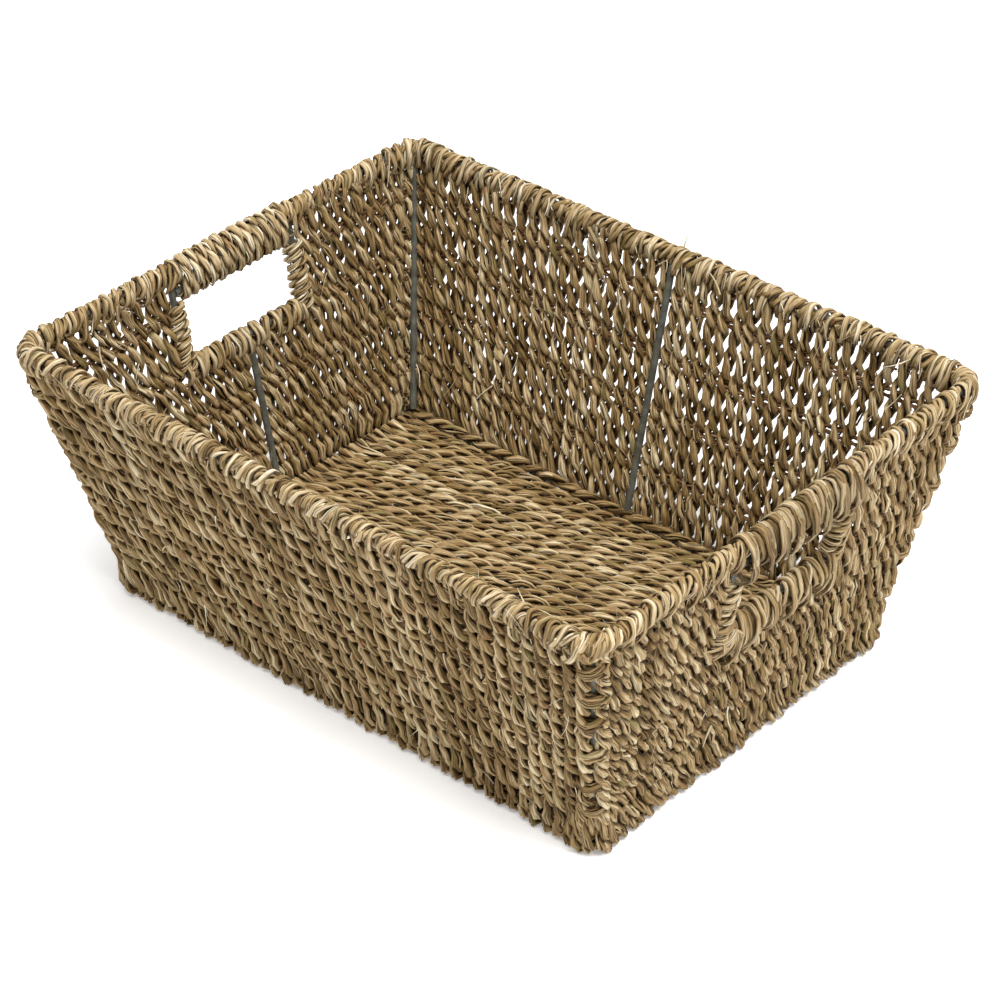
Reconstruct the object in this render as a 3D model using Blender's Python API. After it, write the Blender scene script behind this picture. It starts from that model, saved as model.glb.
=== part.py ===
"""Handled storage basket: seagrass cord woven on a painted steel wire frame.

Metres, +Z up. The origin is the middle of the underside. The long side lies along X, and the hand
holes are in the short sides, at -X and +X. Each wall leans outwards from the base to the rim.

Each wall has two frames. The level frame sits on the middle of its rim line, with X along the wall
and Y towards the inside of the basket. The sloping frame is the same, tipped about X until Z runs up
the wall. A depth is measured down the slope from the rim line.
"""

import math
from collections import namedtuple

import bmesh
import bpy
from mathutils import Matrix, Vector

# Outer size of the basket
LENGTH = 0.400
WIDTH = 0.310
HEIGHT = 0.164
BASE_LENGTH = 0.340
BASE_WIDTH = 0.234

# Cord work
WALL_THICKNESS = 0.007
BASE_THICKNESS = 0.008
RIM_RADIUS = 0.0055
BASE_EDGE_RADIUS = 0.0046
POST_WRAP_RADIUS = 0.0048
WEFT_RADIUS = 0.0008
WEFT_HEIGHTS = (0.037, 0.070)
HANDLE_WEFT_HEIGHTS = (0.102, 0.134)
WALL_END = 0.008  # from a wall's end to the corner of the wall planes

# Steel wire
WIRE_RADIUS = 0.002
CROSS_WIRE_RADIUS = 0.0015
RIM_CORNER_RADIUS = 0.012
BASE_CORNER_RADIUS = 0.010
CROSS_WIRE_SPACING = 0.078
UPRIGHT_INSET = 0.002  # from a wall's mid-plane to the upright let into its inner face

# Hand holes, with depths down the slope
POST_OFFSET = 0.045
GRIP_WIRE_DEPTH = 0.0135
SILL_WIRE_DEPTH = 0.057
POST_END_DEPTH = 0.062

# Fits and facets
GAP = 0.0003
SLACK = 0.0002  # extra room where slanted faces pass each other
FLOOR_CLEARANCE = 0.0001  # the base edge stays this far above what the base rests on
WIRE_SIDES = 12
WRAP_SIDES = 16
CORNER_STEPS = 5
RING_BEVEL_RESOLUTION = 3

# Worked out from the sizes above
RIM_HEIGHT = HEIGHT - RIM_RADIUS
BASE_WIRE_HEIGHT = BASE_EDGE_RADIUS + FLOOR_CLEARANCE
BORE_RADIUS = WIRE_RADIUS + GAP
LONG_RIM = LENGTH / 2 - RIM_RADIUS
SHORT_RIM = WIDTH / 2 - RIM_RADIUS
LONG_BASE = BASE_LENGTH / 2 - BASE_EDGE_RADIUS
SHORT_BASE = BASE_WIDTH / 2 - BASE_EDGE_RADIUS

Side = namedtuple("Side", "name turn rim_half rim_reach base_half base_reach ends")
Finish = namedtuple("Finish", "colour roughness")

PAINTED_STEEL = Finish("#4a4a42", 0.45)
STRAW = Finish("#b09c70", 0.85)
PALE_STRAW = Finish("#d3c6a0", 0.80)
BROWN_STRAW = Finish("#7f6844", 0.85)

SIDES = (
    Side("front", 0, LONG_RIM, SHORT_RIM, LONG_BASE, SHORT_BASE, ("left", "right")),
    Side("right", 90, SHORT_RIM, LONG_RIM, SHORT_BASE, LONG_BASE, ("front", "back")),
    Side("back", 180, LONG_RIM, SHORT_RIM, LONG_BASE, SHORT_BASE, ("right", "left")),
    Side("left", 270, SHORT_RIM, LONG_RIM, SHORT_BASE, LONG_BASE, ("back", "front")),
)


def lean(side):
    """Angle of a wall from upright. Its mid-plane runs from the rim wire to the base wire."""
    return math.atan2(side.rim_reach - side.base_reach, RIM_HEIGHT - BASE_WIRE_HEIGHT)


def slope_length(side):
    """Length of a wall's mid-plane from the rim wire down to the base wire."""
    return (RIM_HEIGHT - BASE_WIRE_HEIGHT) / math.cos(lean(side))


def reach_at(rim_reach, base_reach, height):
    """Distance from the basket's middle to a wall's mid-plane at a height."""
    share = (height - BASE_WIRE_HEIGHT) / (RIM_HEIGHT - BASE_WIRE_HEIGHT)
    return base_reach + (rim_reach - base_reach) * share


def lowest_depth(side):
    """Depth at which what stands in a wall stops, just above the base edge."""
    return slope_length(side) - BASE_EDGE_RADIUS - GAP - SLACK


# Making and placing objects


def linear_colour(hex_text):
    """Linear colour, with alpha, of an sRGB hex string."""
    values = [int(hex_text[i : i + 2], 16) / 255 for i in (1, 3, 5)]
    return tuple(v / 12.92 if v <= 0.04045 else ((v + 0.055) / 1.055) ** 2.4 for v in values) + (1.0,)


def paint(obj, finish):
    """Give an object a Principled material of its own."""
    material = bpy.data.materials.new(obj.name + "_finish")
    material.use_nodes = True
    shader = material.node_tree.nodes["Principled BSDF"]
    shader.inputs["Base Color"].default_value = linear_colour(finish.colour)
    shader.inputs["Roughness"].default_value = finish.roughness
    shader.inputs["Metallic"].default_value = 0.0
    material.diffuse_color = linear_colour(finish.colour)
    obj.data.materials.append(material)


def add(name, data, parent, finish, place=None):
    """Link a new object under its parent, with its own material."""
    obj = bpy.data.objects.new(name, data)
    bpy.context.collection.objects.link(obj)
    obj.parent = parent
    if place is not None:
        obj.matrix_local = place
    if finish is not None:
        paint(obj, finish)
    return obj


def add_guide(name, parent, place):
    """An empty that other objects hang from."""
    empty = add(name, None, parent, None, place)
    empty.empty_display_size = 0.03
    return empty


def mesh_from(name, bm):
    """Turn a bmesh into a closed mesh that faces outwards, smooth where it is round."""
    bmesh.ops.recalc_face_normals(bm, faces=bm.faces)
    mesh = bpy.data.meshes.new(name)
    bm.to_mesh(mesh)
    bm.free()
    mesh.shade_smooth()
    mesh.set_sharp_from_angle(angle=math.radians(40))
    return mesh


def cylinder(name, radius, length, sides=WIRE_SIDES):
    """A capped rod along its own Z, centred."""
    bm = bmesh.new()
    bmesh.ops.create_cone(bm, cap_ends=True, segments=sides, radius1=radius, radius2=radius, depth=length)
    return mesh_from(name, bm)


def prism(name, outline, depth):
    """An outline of points, all at one level, pushed out along depth and centred on that level."""
    bm = bmesh.new()
    face = bm.faces.new([bm.verts.new(point - depth / 2) for point in outline])
    pushed = bmesh.ops.extrude_face_region(bm, geom=[face])["geom"]
    moved = [item for item in pushed if isinstance(item, bmesh.types.BMVert)]
    bmesh.ops.translate(bm, verts=moved, vec=depth)
    return mesh_from(name, bm)


def hollow_tube(name, stations, outer_radius, inner_radius):
    """An open-ended tube along stations, each a point and a level direction of travel."""
    bm = bmesh.new()
    rings = []
    for point, travel in stations:
        across = Vector((-travel.y, travel.x, 0))
        for radius in (outer_radius, inner_radius):
            angles = [math.tau * i / WRAP_SIDES for i in range(WRAP_SIDES)]
            spokes = [across * math.cos(a) + Vector((0, 0, math.sin(a))) for a in angles]
            rings.append([bm.verts.new(point + spoke * radius) for spoke in spokes])
    outer = rings[0::2]
    inner = rings[1::2]
    joins = list(zip(outer, outer[1:])) + list(zip(inner, inner[1:]))
    joins += [(outer[0], inner[0]), (outer[-1], inner[-1])]
    for first, second in joins:
        for i in range(WRAP_SIDES):
            j = (i + 1) % WRAP_SIDES
            bm.faces.new((first[i], first[j], second[j], second[i]))
    return mesh_from(name, bm)


def cut(target, name, mesh, place):
    """Cut a hidden shape out of an object."""
    cutter = add(name, mesh, target, None, place)
    cutter.hide_render = True
    cutter.display_type = "WIRE"
    boolean = target.modifiers.new("cut " + name, "BOOLEAN")
    boolean.operation = "DIFFERENCE"
    boolean.solver = "EXACT"
    boolean.object = cutter


def rounded_rectangle(half_x, half_y, radius):
    """Points round a level rectangle with rounded corners, anticlockwise from the +X end."""
    points = []
    for quarter, (sign_x, sign_y) in enumerate(((1, 1), (-1, 1), (-1, -1), (1, -1))):
        centre = Vector((sign_x * (half_x - radius), sign_y * (half_y - radius), 0))
        for step in range(CORNER_STEPS + 1):
            angle = (quarter + step / CORNER_STEPS) * math.pi / 2
            points.append(centre + Vector((math.cos(angle), math.sin(angle), 0)) * radius)
    return points


def bent_wire(name, points, radius, closed):
    """A curve with a round section through the points."""
    curve = bpy.data.curves.new(name, "CURVE")
    curve.dimensions = "3D"
    spline = curve.splines.new("POLY")
    spline.points.add(len(points) - 1)
    for target, point in zip(spline.points, points):
        target.co = (*point, 1)
    spline.use_cyclic_u = closed
    curve.bevel_depth = radius
    curve.bevel_resolution = RING_BEVEL_RESOLUTION
    curve.use_fill_caps = True
    return curve


# The wire frame


def rod(name, parent, start, end, radius=WIRE_RADIUS):
    """A straight wire between two points, with its origin in its middle."""
    run = end - start
    turn = run.to_track_quat("Z", "Y").to_matrix().to_4x4()
    place = Matrix.Translation((start + end) / 2) @ turn
    return add(name, cylinder(name, radius, run.length), parent, PAINTED_STEEL, place)


def build_rings(basket):
    """The rim ring inside the rim binding, and the base ring inside the base edge."""
    rim = rounded_rectangle(LONG_RIM, SHORT_RIM, RIM_CORNER_RADIUS)
    place = Matrix.Translation((0, 0, RIM_HEIGHT))
    add("rim_wire", bent_wire("rim_wire", rim, WIRE_RADIUS, True), basket, PAINTED_STEEL, place)
    base = rounded_rectangle(LONG_BASE, SHORT_BASE, BASE_CORNER_RADIUS)
    place = Matrix.Translation((0, 0, BASE_WIRE_HEIGHT))
    add("base_wire", bent_wire("base_wire", base, WIRE_RADIUS, True), basket, PAINTED_STEEL, place)


def build_corner_uprights(basket):
    """One upright in each corner, from the base ring's bend to the rim ring's bend."""
    bend = 1 - math.sqrt(0.5)
    bottom_height = BASE_WIRE_HEIGHT + BASE_EDGE_RADIUS + WIRE_RADIUS / 2
    top_height = RIM_HEIGHT - RIM_RADIUS - WIRE_RADIUS / 2
    low_x = LONG_BASE - BASE_CORNER_RADIUS * bend
    low_y = SHORT_BASE - BASE_CORNER_RADIUS * bend
    top_x = LONG_RIM - RIM_CORNER_RADIUS * bend
    top_y = SHORT_RIM - RIM_CORNER_RADIUS * bend
    for row, sign_y in (("front", -1), ("back", 1)):
        for column, sign_x in (("left", -1), ("right", 1)):
            start = Vector((sign_x * low_x, sign_y * low_y, bottom_height))
            end = Vector((sign_x * top_x, sign_y * top_y, top_height))
            rod(f"corner_upright_{row}_{column}", basket, start, end)


def upright_ends(side):
    """Depths of the top and bottom ends of the upright in a wall's inner face."""
    if has_handle(side):
        return SILL_WIRE_DEPTH + POST_WRAP_RADIUS + GAP + SLACK, lowest_depth(side)
    return RIM_RADIUS + GAP + SLACK, lowest_depth(side)


def build_wall_upright(side, slope):
    """The upright let into a wall's inner face, from the rim or the sill down to the base edge."""
    name = f"{side.name}_lower_upright" if has_handle(side) else f"{side.name}_upright"
    top, bottom = upright_ends(side)
    start = Vector((0, UPRIGHT_INSET, -bottom))
    rod(name, slope, start, Vector((0, UPRIGHT_INSET, -top)))


def build_cross_wires(basket):
    """Three wires across the base, inside the base weave."""
    half_y = SHORT_BASE - BASE_EDGE_RADIUS - GAP
    for index, name in enumerate(("left", "middle", "right")):
        x = (index - 1) * CROSS_WIRE_SPACING
        start = Vector((x, -half_y, BASE_THICKNESS / 2))
        end = Vector((x, half_y, BASE_THICKNESS / 2))
        rod(f"base_cross_wire_{name}", basket, start, end, CROSS_WIRE_RADIUS)


# The cord work


def build_base_weave(basket):
    """The woven base, a flat panel bored through for the three cross wires."""
    inset = BASE_EDGE_RADIUS + GAP
    corner = BASE_CORNER_RADIUS - inset
    outline = rounded_rectangle(LONG_BASE - inset, SHORT_BASE - inset, corner)
    mesh = prism("base_weave", outline, Vector((0, 0, BASE_THICKNESS)))
    place = Matrix.Translation((0, 0, BASE_THICKNESS / 2))
    panel = add("base_weave", mesh, basket, STRAW, place)
    for index in range(3):
        x = (index - 1) * CROSS_WIRE_SPACING
        bore = cylinder("bore", CROSS_WIRE_RADIUS + GAP, BASE_WIDTH)
        across = Matrix.Translation((x, 0, 0)) @ Matrix.Rotation(math.pi / 2, 4, "X")
        cut(panel, f"base_bore_{index}", bore, across)


def has_handle(side):
    """Whether a wall has a hand hole: the two short ones do."""
    return side.name in ("left", "right")


def build_wall_weave(side, slope):
    """A wall's woven panel, notched from the top where there is a hand hole."""
    top = RIM_RADIUS + GAP + SLACK
    bottom = lowest_depth(side)

    def end_at(depth):
        share = depth / slope_length(side)
        return side.rim_half + (side.base_half - side.rim_half) * share - WALL_END

    outline = [(-end_at(bottom), bottom), (end_at(bottom), bottom), (end_at(top), top)]
    if has_handle(side):
        notch_half = POST_OFFSET + POST_WRAP_RADIUS + 2 * GAP
        notch_bottom = POST_END_DEPTH + GAP
        outline += [(notch_half, top), (notch_half, notch_bottom)]
        outline += [(-notch_half, notch_bottom), (-notch_half, top)]
    outline.append((-end_at(top), top))
    points = [Vector((x, 0, -depth)) for x, depth in outline]
    name = f"{side.name}_wall_weave"
    panel = add(name, prism(name, points, Vector((0, WALL_THICKNESS, 0))), slope, STRAW)
    groove_top = upright_ends(side)[0] - GAP
    groove = cylinder("groove", BORE_RADIUS, slope_length(side))
    middle = Vector((0, UPRIGHT_INSET, -groove_top - slope_length(side) / 2))
    cut(panel, f"{name}_groove", groove, Matrix.Translation(middle))


def corner_stations(half, corner_radius, tube_radius, sign):
    """Stations of a tube round a corner, from where the bend starts to half way round it."""
    centre = Vector((sign * (half - corner_radius), corner_radius, 0))
    half_gap = (GAP + SLACK) / (corner_radius - tube_radius) / 2
    stations = []
    for step in range(CORNER_STEPS):
        angle = (math.pi / 4 - half_gap) * step / (CORNER_STEPS - 1)
        outwards = Vector((sign * math.sin(angle), -math.cos(angle), 0))
        travel = Vector((math.cos(angle), sign * math.sin(angle), 0))
        stations.append((centre + outwards * corner_radius, travel))
    return stations


def side_stations(half, corner_radius, tube_radius):
    """Stations of a tube along one side of a ring, from half way round one corner to the next."""
    left_bend = corner_stations(half, corner_radius, tube_radius, -1)[::-1]
    return left_bend, corner_stations(half, corner_radius, tube_radius, 1)


def build_rim_binding(side, level):
    """The wrapped cord round the rim wire: one length on a long wall, two beside a grip."""
    along = Vector((1, 0, 0))
    left_bend, right_bend = side_stations(side.rim_half, RIM_CORNER_RADIUS, RIM_RADIUS)
    if not has_handle(side):
        name = f"{side.name}_rim_binding"
        mesh = hollow_tube(name, left_bend + right_bend, RIM_RADIUS, BORE_RADIUS)
        add(name, mesh, level, PALE_STRAW)
        return
    start = POST_OFFSET + WIRE_RADIUS + GAP
    for sign, end in zip((-1, 1), side.ends):
        name = f"{side.name}_rim_binding_{end}"
        by_post = (Vector((sign * start, 0, 0)), along)
        stations = left_bend + [by_post] if sign < 0 else [by_post] + right_bend
        add(name, hollow_tube(name, stations, RIM_RADIUS, BORE_RADIUS), level, PALE_STRAW)


def build_base_edge(side, basket):
    """The cords' turned edge round the base wire, along one wall."""
    left_bend, right_bend = side_stations(side.base_half, BASE_CORNER_RADIUS, BASE_EDGE_RADIUS)
    turn = Matrix.Rotation(math.radians(side.turn), 4, "Z")
    place = turn @ Matrix.Translation((0, -side.base_reach, BASE_WIRE_HEIGHT))
    name = f"{side.name}_base_edge"
    mesh = hollow_tube(name, left_bend + right_bend, BASE_EDGE_RADIUS, BORE_RADIUS)
    add(name, mesh, basket, STRAW, place)


def build_straight_wrap(name, slope, half_length, radius, place):
    """An open-ended wrap round one straight wire, along its own X."""
    along = Vector((1, 0, 0))
    stations = [(along * -half_length, along), (along * half_length, along)]
    return add(name, hollow_tube(name, stations, radius, BORE_RADIUS), slope, PALE_STRAW, place)


def build_grip_wrap(side, slope, half_length):
    """The broad wrap that binds the rim wire and the grip wire together."""
    name = f"{side.name}_grip_wrap"
    outline = []
    for centre_z, start in ((0, 0), (-GRIP_WIRE_DEPTH, math.pi)):
        for step in range(WRAP_SIDES // 2 + 1):
            angle = start + math.pi * step / (WRAP_SIDES // 2)
            spoke = Vector((0, math.cos(angle), math.sin(angle)))
            outline.append(Vector((0, 0, centre_z)) + spoke * RIM_RADIUS)
    wrap = add(name, prism(name, outline, Vector((2 * half_length, 0, 0))), slope, PALE_STRAW)
    for label, depth in (("rim", 0), ("grip", GRIP_WIRE_DEPTH)):
        bore = cylinder("bore", BORE_RADIUS, 3 * half_length)
        along = Matrix.Translation((0, 0, -depth)) @ Matrix.Rotation(math.pi / 2, 4, "Y")
        cut(wrap, f"{name}_{label}_bore", bore, along)


def build_handle(side, slope):
    """The wires round a hand hole and the wraps on them."""
    wire_half = POST_OFFSET - WIRE_RADIUS - GAP
    wrap_half = wire_half - GAP
    for label, depth in (("grip", GRIP_WIRE_DEPTH), ("sill", SILL_WIRE_DEPTH)):
        start = Vector((-wire_half, 0, -depth))
        end = Vector((wire_half, 0, -depth))
        rod(f"{side.name}_{label}_wire", slope, start, end)
    build_grip_wrap(side, slope, wrap_half)
    sill_place = Matrix.Translation((0, 0, -SILL_WIRE_DEPTH))
    build_straight_wrap(f"{side.name}_sill_wrap", slope, wrap_half, POST_WRAP_RADIUS, sill_place)

    hole_top = GRIP_WIRE_DEPTH + RIM_RADIUS + 2 * GAP
    hole_bottom = SILL_WIRE_DEPTH - POST_WRAP_RADIUS - GAP
    upright = Matrix.Rotation(math.pi / 2, 4, "Y")
    for sign, end in zip((-1, 1), side.ends):
        x = sign * POST_OFFSET
        top = Vector((x, 0, -WIRE_RADIUS - GAP - SLACK))
        rod(f"{side.name}_handle_post_{end}", slope, Vector((x, 0, -POST_END_DEPTH)), top)
        place = Matrix.Translation((x, 0, -(hole_top + hole_bottom) / 2)) @ upright
        half_length = (hole_bottom - hole_top) / 2
        name = f"{side.name}_post_wrap_{end}"
        build_straight_wrap(name, slope, half_length, POST_WRAP_RADIUS, place)


def weft_halves(height):
    """Half length and half width of a weft cord that lies against the walls' outer faces."""
    stand_off = WALL_THICKNESS / 2 + GAP + SLACK + WEFT_RADIUS
    halves = []
    for rim_reach, base_reach in ((LONG_RIM, LONG_BASE), (SHORT_RIM, SHORT_BASE)):
        tilt = math.atan2(rim_reach - base_reach, RIM_HEIGHT - BASE_WIRE_HEIGHT)
        halves.append(reach_at(rim_reach, base_reach, height) + stand_off / math.cos(tilt))
    return halves


def build_weft_cords(basket):
    """The outer strand of each weft row: two whole rounds, and two that stop at the hand holes."""
    corner = WALL_END
    for index, height in enumerate(WEFT_HEIGHTS):
        name = f"weft_cord_{index + 1}"
        points = rounded_rectangle(*weft_halves(height), corner)
        place = Matrix.Translation((0, 0, height))
        add(name, bent_wire(name, points, WEFT_RADIUS, True), basket, BROWN_STRAW, place)
    stop = POST_OFFSET + POST_WRAP_RADIUS + 2 * GAP
    for index, height in enumerate(HANDLE_WEFT_HEIGHTS):
        half_x, half_y = weft_halves(height)
        for end, sign in (("front", -1), ("back", 1)):
            name = f"weft_cord_{len(WEFT_HEIGHTS) + 1 + index}_{end}"
            ring = [p * sign for p in rounded_rectangle(half_x, half_y, corner)]
            half_ring = [p for p in ring if p.y * sign > 0]
            points = [Vector((half_x * sign, stop * sign, 0))] + half_ring
            points.append(Vector((-half_x * sign, stop * sign, 0)))
            place = Matrix.Translation((0, 0, height))
            add(name, bent_wire(name, points, WEFT_RADIUS, False), basket, BROWN_STRAW, place)


def build_side(side, basket):
    """Everything that belongs to one wall."""
    turn = Matrix.Rotation(math.radians(side.turn), 4, "Z")
    on_rim = turn @ Matrix.Translation((0, -side.rim_reach, RIM_HEIGHT))
    level = add_guide(f"{side.name}_level", basket, on_rim)
    slope = add_guide(f"{side.name}_slope", level, Matrix.Rotation(lean(side), 4, "X"))
    build_wall_weave(side, slope)
    build_wall_upright(side, slope)
    build_rim_binding(side, level)
    build_base_edge(side, basket)
    if has_handle(side):
        build_handle(side, slope)


def build_basket():
    """Clear the file and build the basket."""
    for obj in list(bpy.data.objects):
        bpy.data.objects.remove(obj, do_unlink=True)
    basket = add_guide("basket", None, Matrix.Identity(4))
    build_rings(basket)
    build_corner_uprights(basket)
    build_cross_wires(basket)
    build_base_weave(basket)
    for side in SIDES:
        build_side(side, basket)
    build_weft_cords(basket)


build_basket()
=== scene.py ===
"""Seagrass storage basket, dressed: twisted cords woven on a painted wire frame.

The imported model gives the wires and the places. Every cord and blade here follows a centre line that is
worked out from them. Geometry Nodes trees twist two plies about each cord's line, and wind flat blades
round the rim and the hand holes. Metres, +Z up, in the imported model's own frame.

A depth is measured down a wall's slope from the rim line. "Out" is measured from a wall's mid-plane,
away from the inside of the basket.
"""

import logging
import math
import random
from collections.abc import Sequence
from dataclasses import dataclass, field
from enum import Enum

import bpy
from mathutils import Matrix, Vector, noise


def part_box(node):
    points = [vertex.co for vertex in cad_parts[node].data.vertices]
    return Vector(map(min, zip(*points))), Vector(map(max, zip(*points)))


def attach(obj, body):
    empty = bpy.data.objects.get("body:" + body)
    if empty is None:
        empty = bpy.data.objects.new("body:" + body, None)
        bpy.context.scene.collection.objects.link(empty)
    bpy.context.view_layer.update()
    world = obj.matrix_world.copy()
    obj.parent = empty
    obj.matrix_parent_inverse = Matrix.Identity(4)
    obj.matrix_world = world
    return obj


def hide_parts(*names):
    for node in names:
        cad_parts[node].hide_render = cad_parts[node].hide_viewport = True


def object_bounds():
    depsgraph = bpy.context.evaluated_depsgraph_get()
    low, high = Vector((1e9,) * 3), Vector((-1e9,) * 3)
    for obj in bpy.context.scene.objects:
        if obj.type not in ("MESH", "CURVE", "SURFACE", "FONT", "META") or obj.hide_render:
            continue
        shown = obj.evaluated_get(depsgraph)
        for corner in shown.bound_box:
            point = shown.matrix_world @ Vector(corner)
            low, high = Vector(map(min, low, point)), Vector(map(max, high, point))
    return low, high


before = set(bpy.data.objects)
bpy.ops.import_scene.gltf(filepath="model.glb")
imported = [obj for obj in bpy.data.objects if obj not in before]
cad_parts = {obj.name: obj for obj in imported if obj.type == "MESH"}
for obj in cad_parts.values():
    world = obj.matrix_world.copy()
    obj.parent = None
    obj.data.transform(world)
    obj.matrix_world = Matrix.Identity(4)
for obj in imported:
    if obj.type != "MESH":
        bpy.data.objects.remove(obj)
CAD_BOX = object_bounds()

LOG = logging.getLogger("basket")
BODY = "root"
SEED = 1871

# Spacings and thicknesses of the cord work, in metres
CORD_HALF = 0.0035
PLY_TURN = -1.0  # every cord is S-laid, which is a left-hand turn
HALF_LAY = 0.0112  # between one ply's turn to the front and the other's
TIGHT_HALF_LAY = 0.0090
LINE_STEP = 0.0055  # between the points of a centre line, before it is smoothed
COLUMN_END = 0.0050  # from a wall's end to its last column
FLOOR_CLEARANCE = 0.0002
LONG_WALL_COLUMNS = 44
SHORT_WALL_COLUMNS = 34


class Slot(Enum):
    """The record's material slots for the seagrass."""

    WEAVE = "seagrass_weave"
    BINDING = "seagrass_binding"
    WEFT = "seagrass_weft"


# Nodes


def first_output(value: object) -> object:
    """A node's first output in use, or the value itself if it isn't a node."""
    if isinstance(value, bpy.types.Node):
        return next(output for output in value.outputs if output.enabled)
    return value


def add_node(
    tree: bpy.types.NodeTree,
    kind: str,
    feeds: dict | None = None,
    **settings: object,
) -> bpy.types.Node:
    """Add a node with its settings and links.

    Args:
        tree: The tree the node goes in.
        kind: Blender's name for the node's type.
        feeds: What goes into its inputs, by name or index: a value, a socket, or a node, which stands
            for its first output.
        settings: Values for the node's own properties.

    Returns:
        The new node.
    """
    node = tree.nodes.new(kind)
    for name, value in settings.items():
        setattr(node, name, value)
    for key, value in (feeds or {}).items():
        value = first_output(value)
        if isinstance(value, bpy.types.NodeSocket):
            tree.links.new(value, node.inputs[key])
        else:
            node.inputs[key].default_value = value
    return node


def linear_colour(hex_text: str) -> tuple[float, float, float, float]:
    """Turn an sRGB hex colour into linear light.

    Args:
        hex_text: The colour, as "#rrggbb".

    Returns:
        Red, green, blue and alpha.
    """
    values = [int(hex_text[i : i + 2], 16) / 255 for i in (1, 3, 5)]
    red, green, blue = (v / 12.92 if v <= 0.04045 else ((v + 0.055) / 1.055) ** 2.4 for v in values)
    return red, green, blue, 1.0


# Finishes


@dataclass(frozen=True)
class SeagrassFinish:
    """Dry seagrass: straw with olive and brown strands, fine fibre lines along it, and painted shade in its
    crevices.

    The fibre lines make it silky along a strand and matt across. The colour of a strand comes from its
    tone, so that neighbouring blades differ as real stems do, and its outer ridges are paler, partly rubbed
    and partly a painted highlight.
    """

    name: str
    dark: str
    middle: str
    light: str
    pale: str
    # The painted shade's colour, for the crevices and for the slits between fibres
    painted_shade_colour: str = "#2b1907"
    rust: str = "#8a5433"
    olive: str = "#6f6a35"
    roughness: float = 0.62
    rust_share: float = 0.08
    olive_share: float = 0.13
    fibre_width: float = 0.00045  # real fibres are finer, and would not show
    fibre_length: float = 0.010
    streak_width: float = 0.0014
    streak_length: float = 0.022
    crease_shade_width: float = 0.0008
    bump_height: float = 0.0003

    def build(self) -> bpy.types.Material:
        """Make the material.

        Returns:
            The material.
        """
        material = bpy.data.materials.new(self.name)
        material.use_nodes = True
        tree = material.node_tree
        shader = tree.nodes["Principled BSDF"]
        tone = add_node(tree, "ShaderNodeAttribute", attribute_name="tone").outputs["Fac"]
        outward = add_node(tree, "ShaderNodeAttribute", attribute_name="outward").outputs["Fac"]
        fibres = self.streaks(tree, self.fibre_width, self.fibre_length, 3.0)
        streaks = self.streaks(tree, self.streak_width, self.streak_length, 2.0)

        coarse = add_node(tree, "ShaderNodeMath", {0: streaks, 1: 1.1, 2: tone}, operation="MULTIPLY_ADD")
        level = add_node(tree, "ShaderNodeMath", {0: fibres, 1: 1.1, 2: coarse}, operation="MULTIPLY_ADD")
        # Paler the further out a point lies on its cord: partly rubbing, partly a painted highlight on the
        # outer ridges. It also brings the level back into the ramp's range
        rubbed_and_painted_highlight = add_node(
            tree,
            "ShaderNodeMapRange",
            {"Value": outward, "From Min": 0.45, "From Max": 1.0, "To Min": -1.20, "To Max": -0.98},
        )
        shade = add_node(tree, "ShaderNodeMath", {0: level, 1: rubbed_and_painted_highlight}, operation="ADD")
        ramp = add_node(tree, "ShaderNodeValToRGB", {"Fac": shade})
        self.colour_ramp(ramp.color_ramp)

        colour = ramp.outputs["Color"]
        for share, tint, size in (
            (self.olive_share, self.olive, 0.024),
            (self.rust_share, self.rust, 0.009),
        ):
            spot = self.streaks(tree, 0.004, size, 1.0)
            edge = 0.74 - share
            amount = add_node(
                tree,
                "ShaderNodeMapRange",
                {"Value": spot, "From Min": edge, "From Max": edge + 0.12, "To Max": 0.65},
            )
            colour = self.lay_over(tree, amount, colour, tint)
        # Painted shade in the slits between fibres: thin dark lines in the shade colour along each blade
        crease_shade = self.streaks(tree, self.crease_shade_width, self.streak_length, 1.0)
        amount = add_node(
            tree,
            "ShaderNodeMapRange",
            {"Value": crease_shade, "From Min": 0.43, "From Max": 0.34, "To Max": 0.75},
        )
        colour = self.lay_over(tree, amount, colour, self.painted_shade_colour)
        # Painted shade in the crevices: the further in a point lies, the more of the shade colour is laid
        # over it
        depth = add_node(
            tree,
            "ShaderNodeMapRange",
            {"Value": outward, "From Min": 0.05, "From Max": 0.80, "To Min": 0.96, "To Max": 0.0},
        )
        colour = self.lay_over(tree, depth, colour, self.painted_shade_colour)
        tree.links.new(colour, shader.inputs["Base Color"])

        rough = add_node(
            tree,
            "ShaderNodeMapRange",
            {"Value": fibres, "To Min": self.roughness - 0.08, "To Max": self.roughness + 0.14},
        )
        tree.links.new(rough.outputs[0], shader.inputs["Roughness"])
        bump = add_node(tree, "ShaderNodeBump", {"Height": level, "Distance": self.bump_height})
        tree.links.new(bump.outputs[0], shader.inputs["Normal"])
        shader.inputs["IOR"].default_value = 1.5
        shader.inputs["Specular IOR Level"].default_value = 0.22
        return material

    def streaks(
        self, tree: bpy.types.NodeTree, width: float, length: float, detail: float
    ) -> bpy.types.Node:
        """Uneven lines that run along a strand.

        Args:
            tree: The material's tree.
            width: A line's width.
            length: A line's length.
            detail: How many finer layers are added.

        Returns:
            The node that gives the lines.
        """
        grain = add_node(tree, "ShaderNodeAttribute", attribute_name="grain").outputs["Vector"]
        scale = (1 / width, 1 / width, 1 / length)
        place = add_node(tree, "ShaderNodeMapping", {"Vector": grain, "Scale": scale})
        return add_node(tree, "ShaderNodeTexNoise", {"Vector": place, "Scale": 1.0, "Detail": detail})

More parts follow.
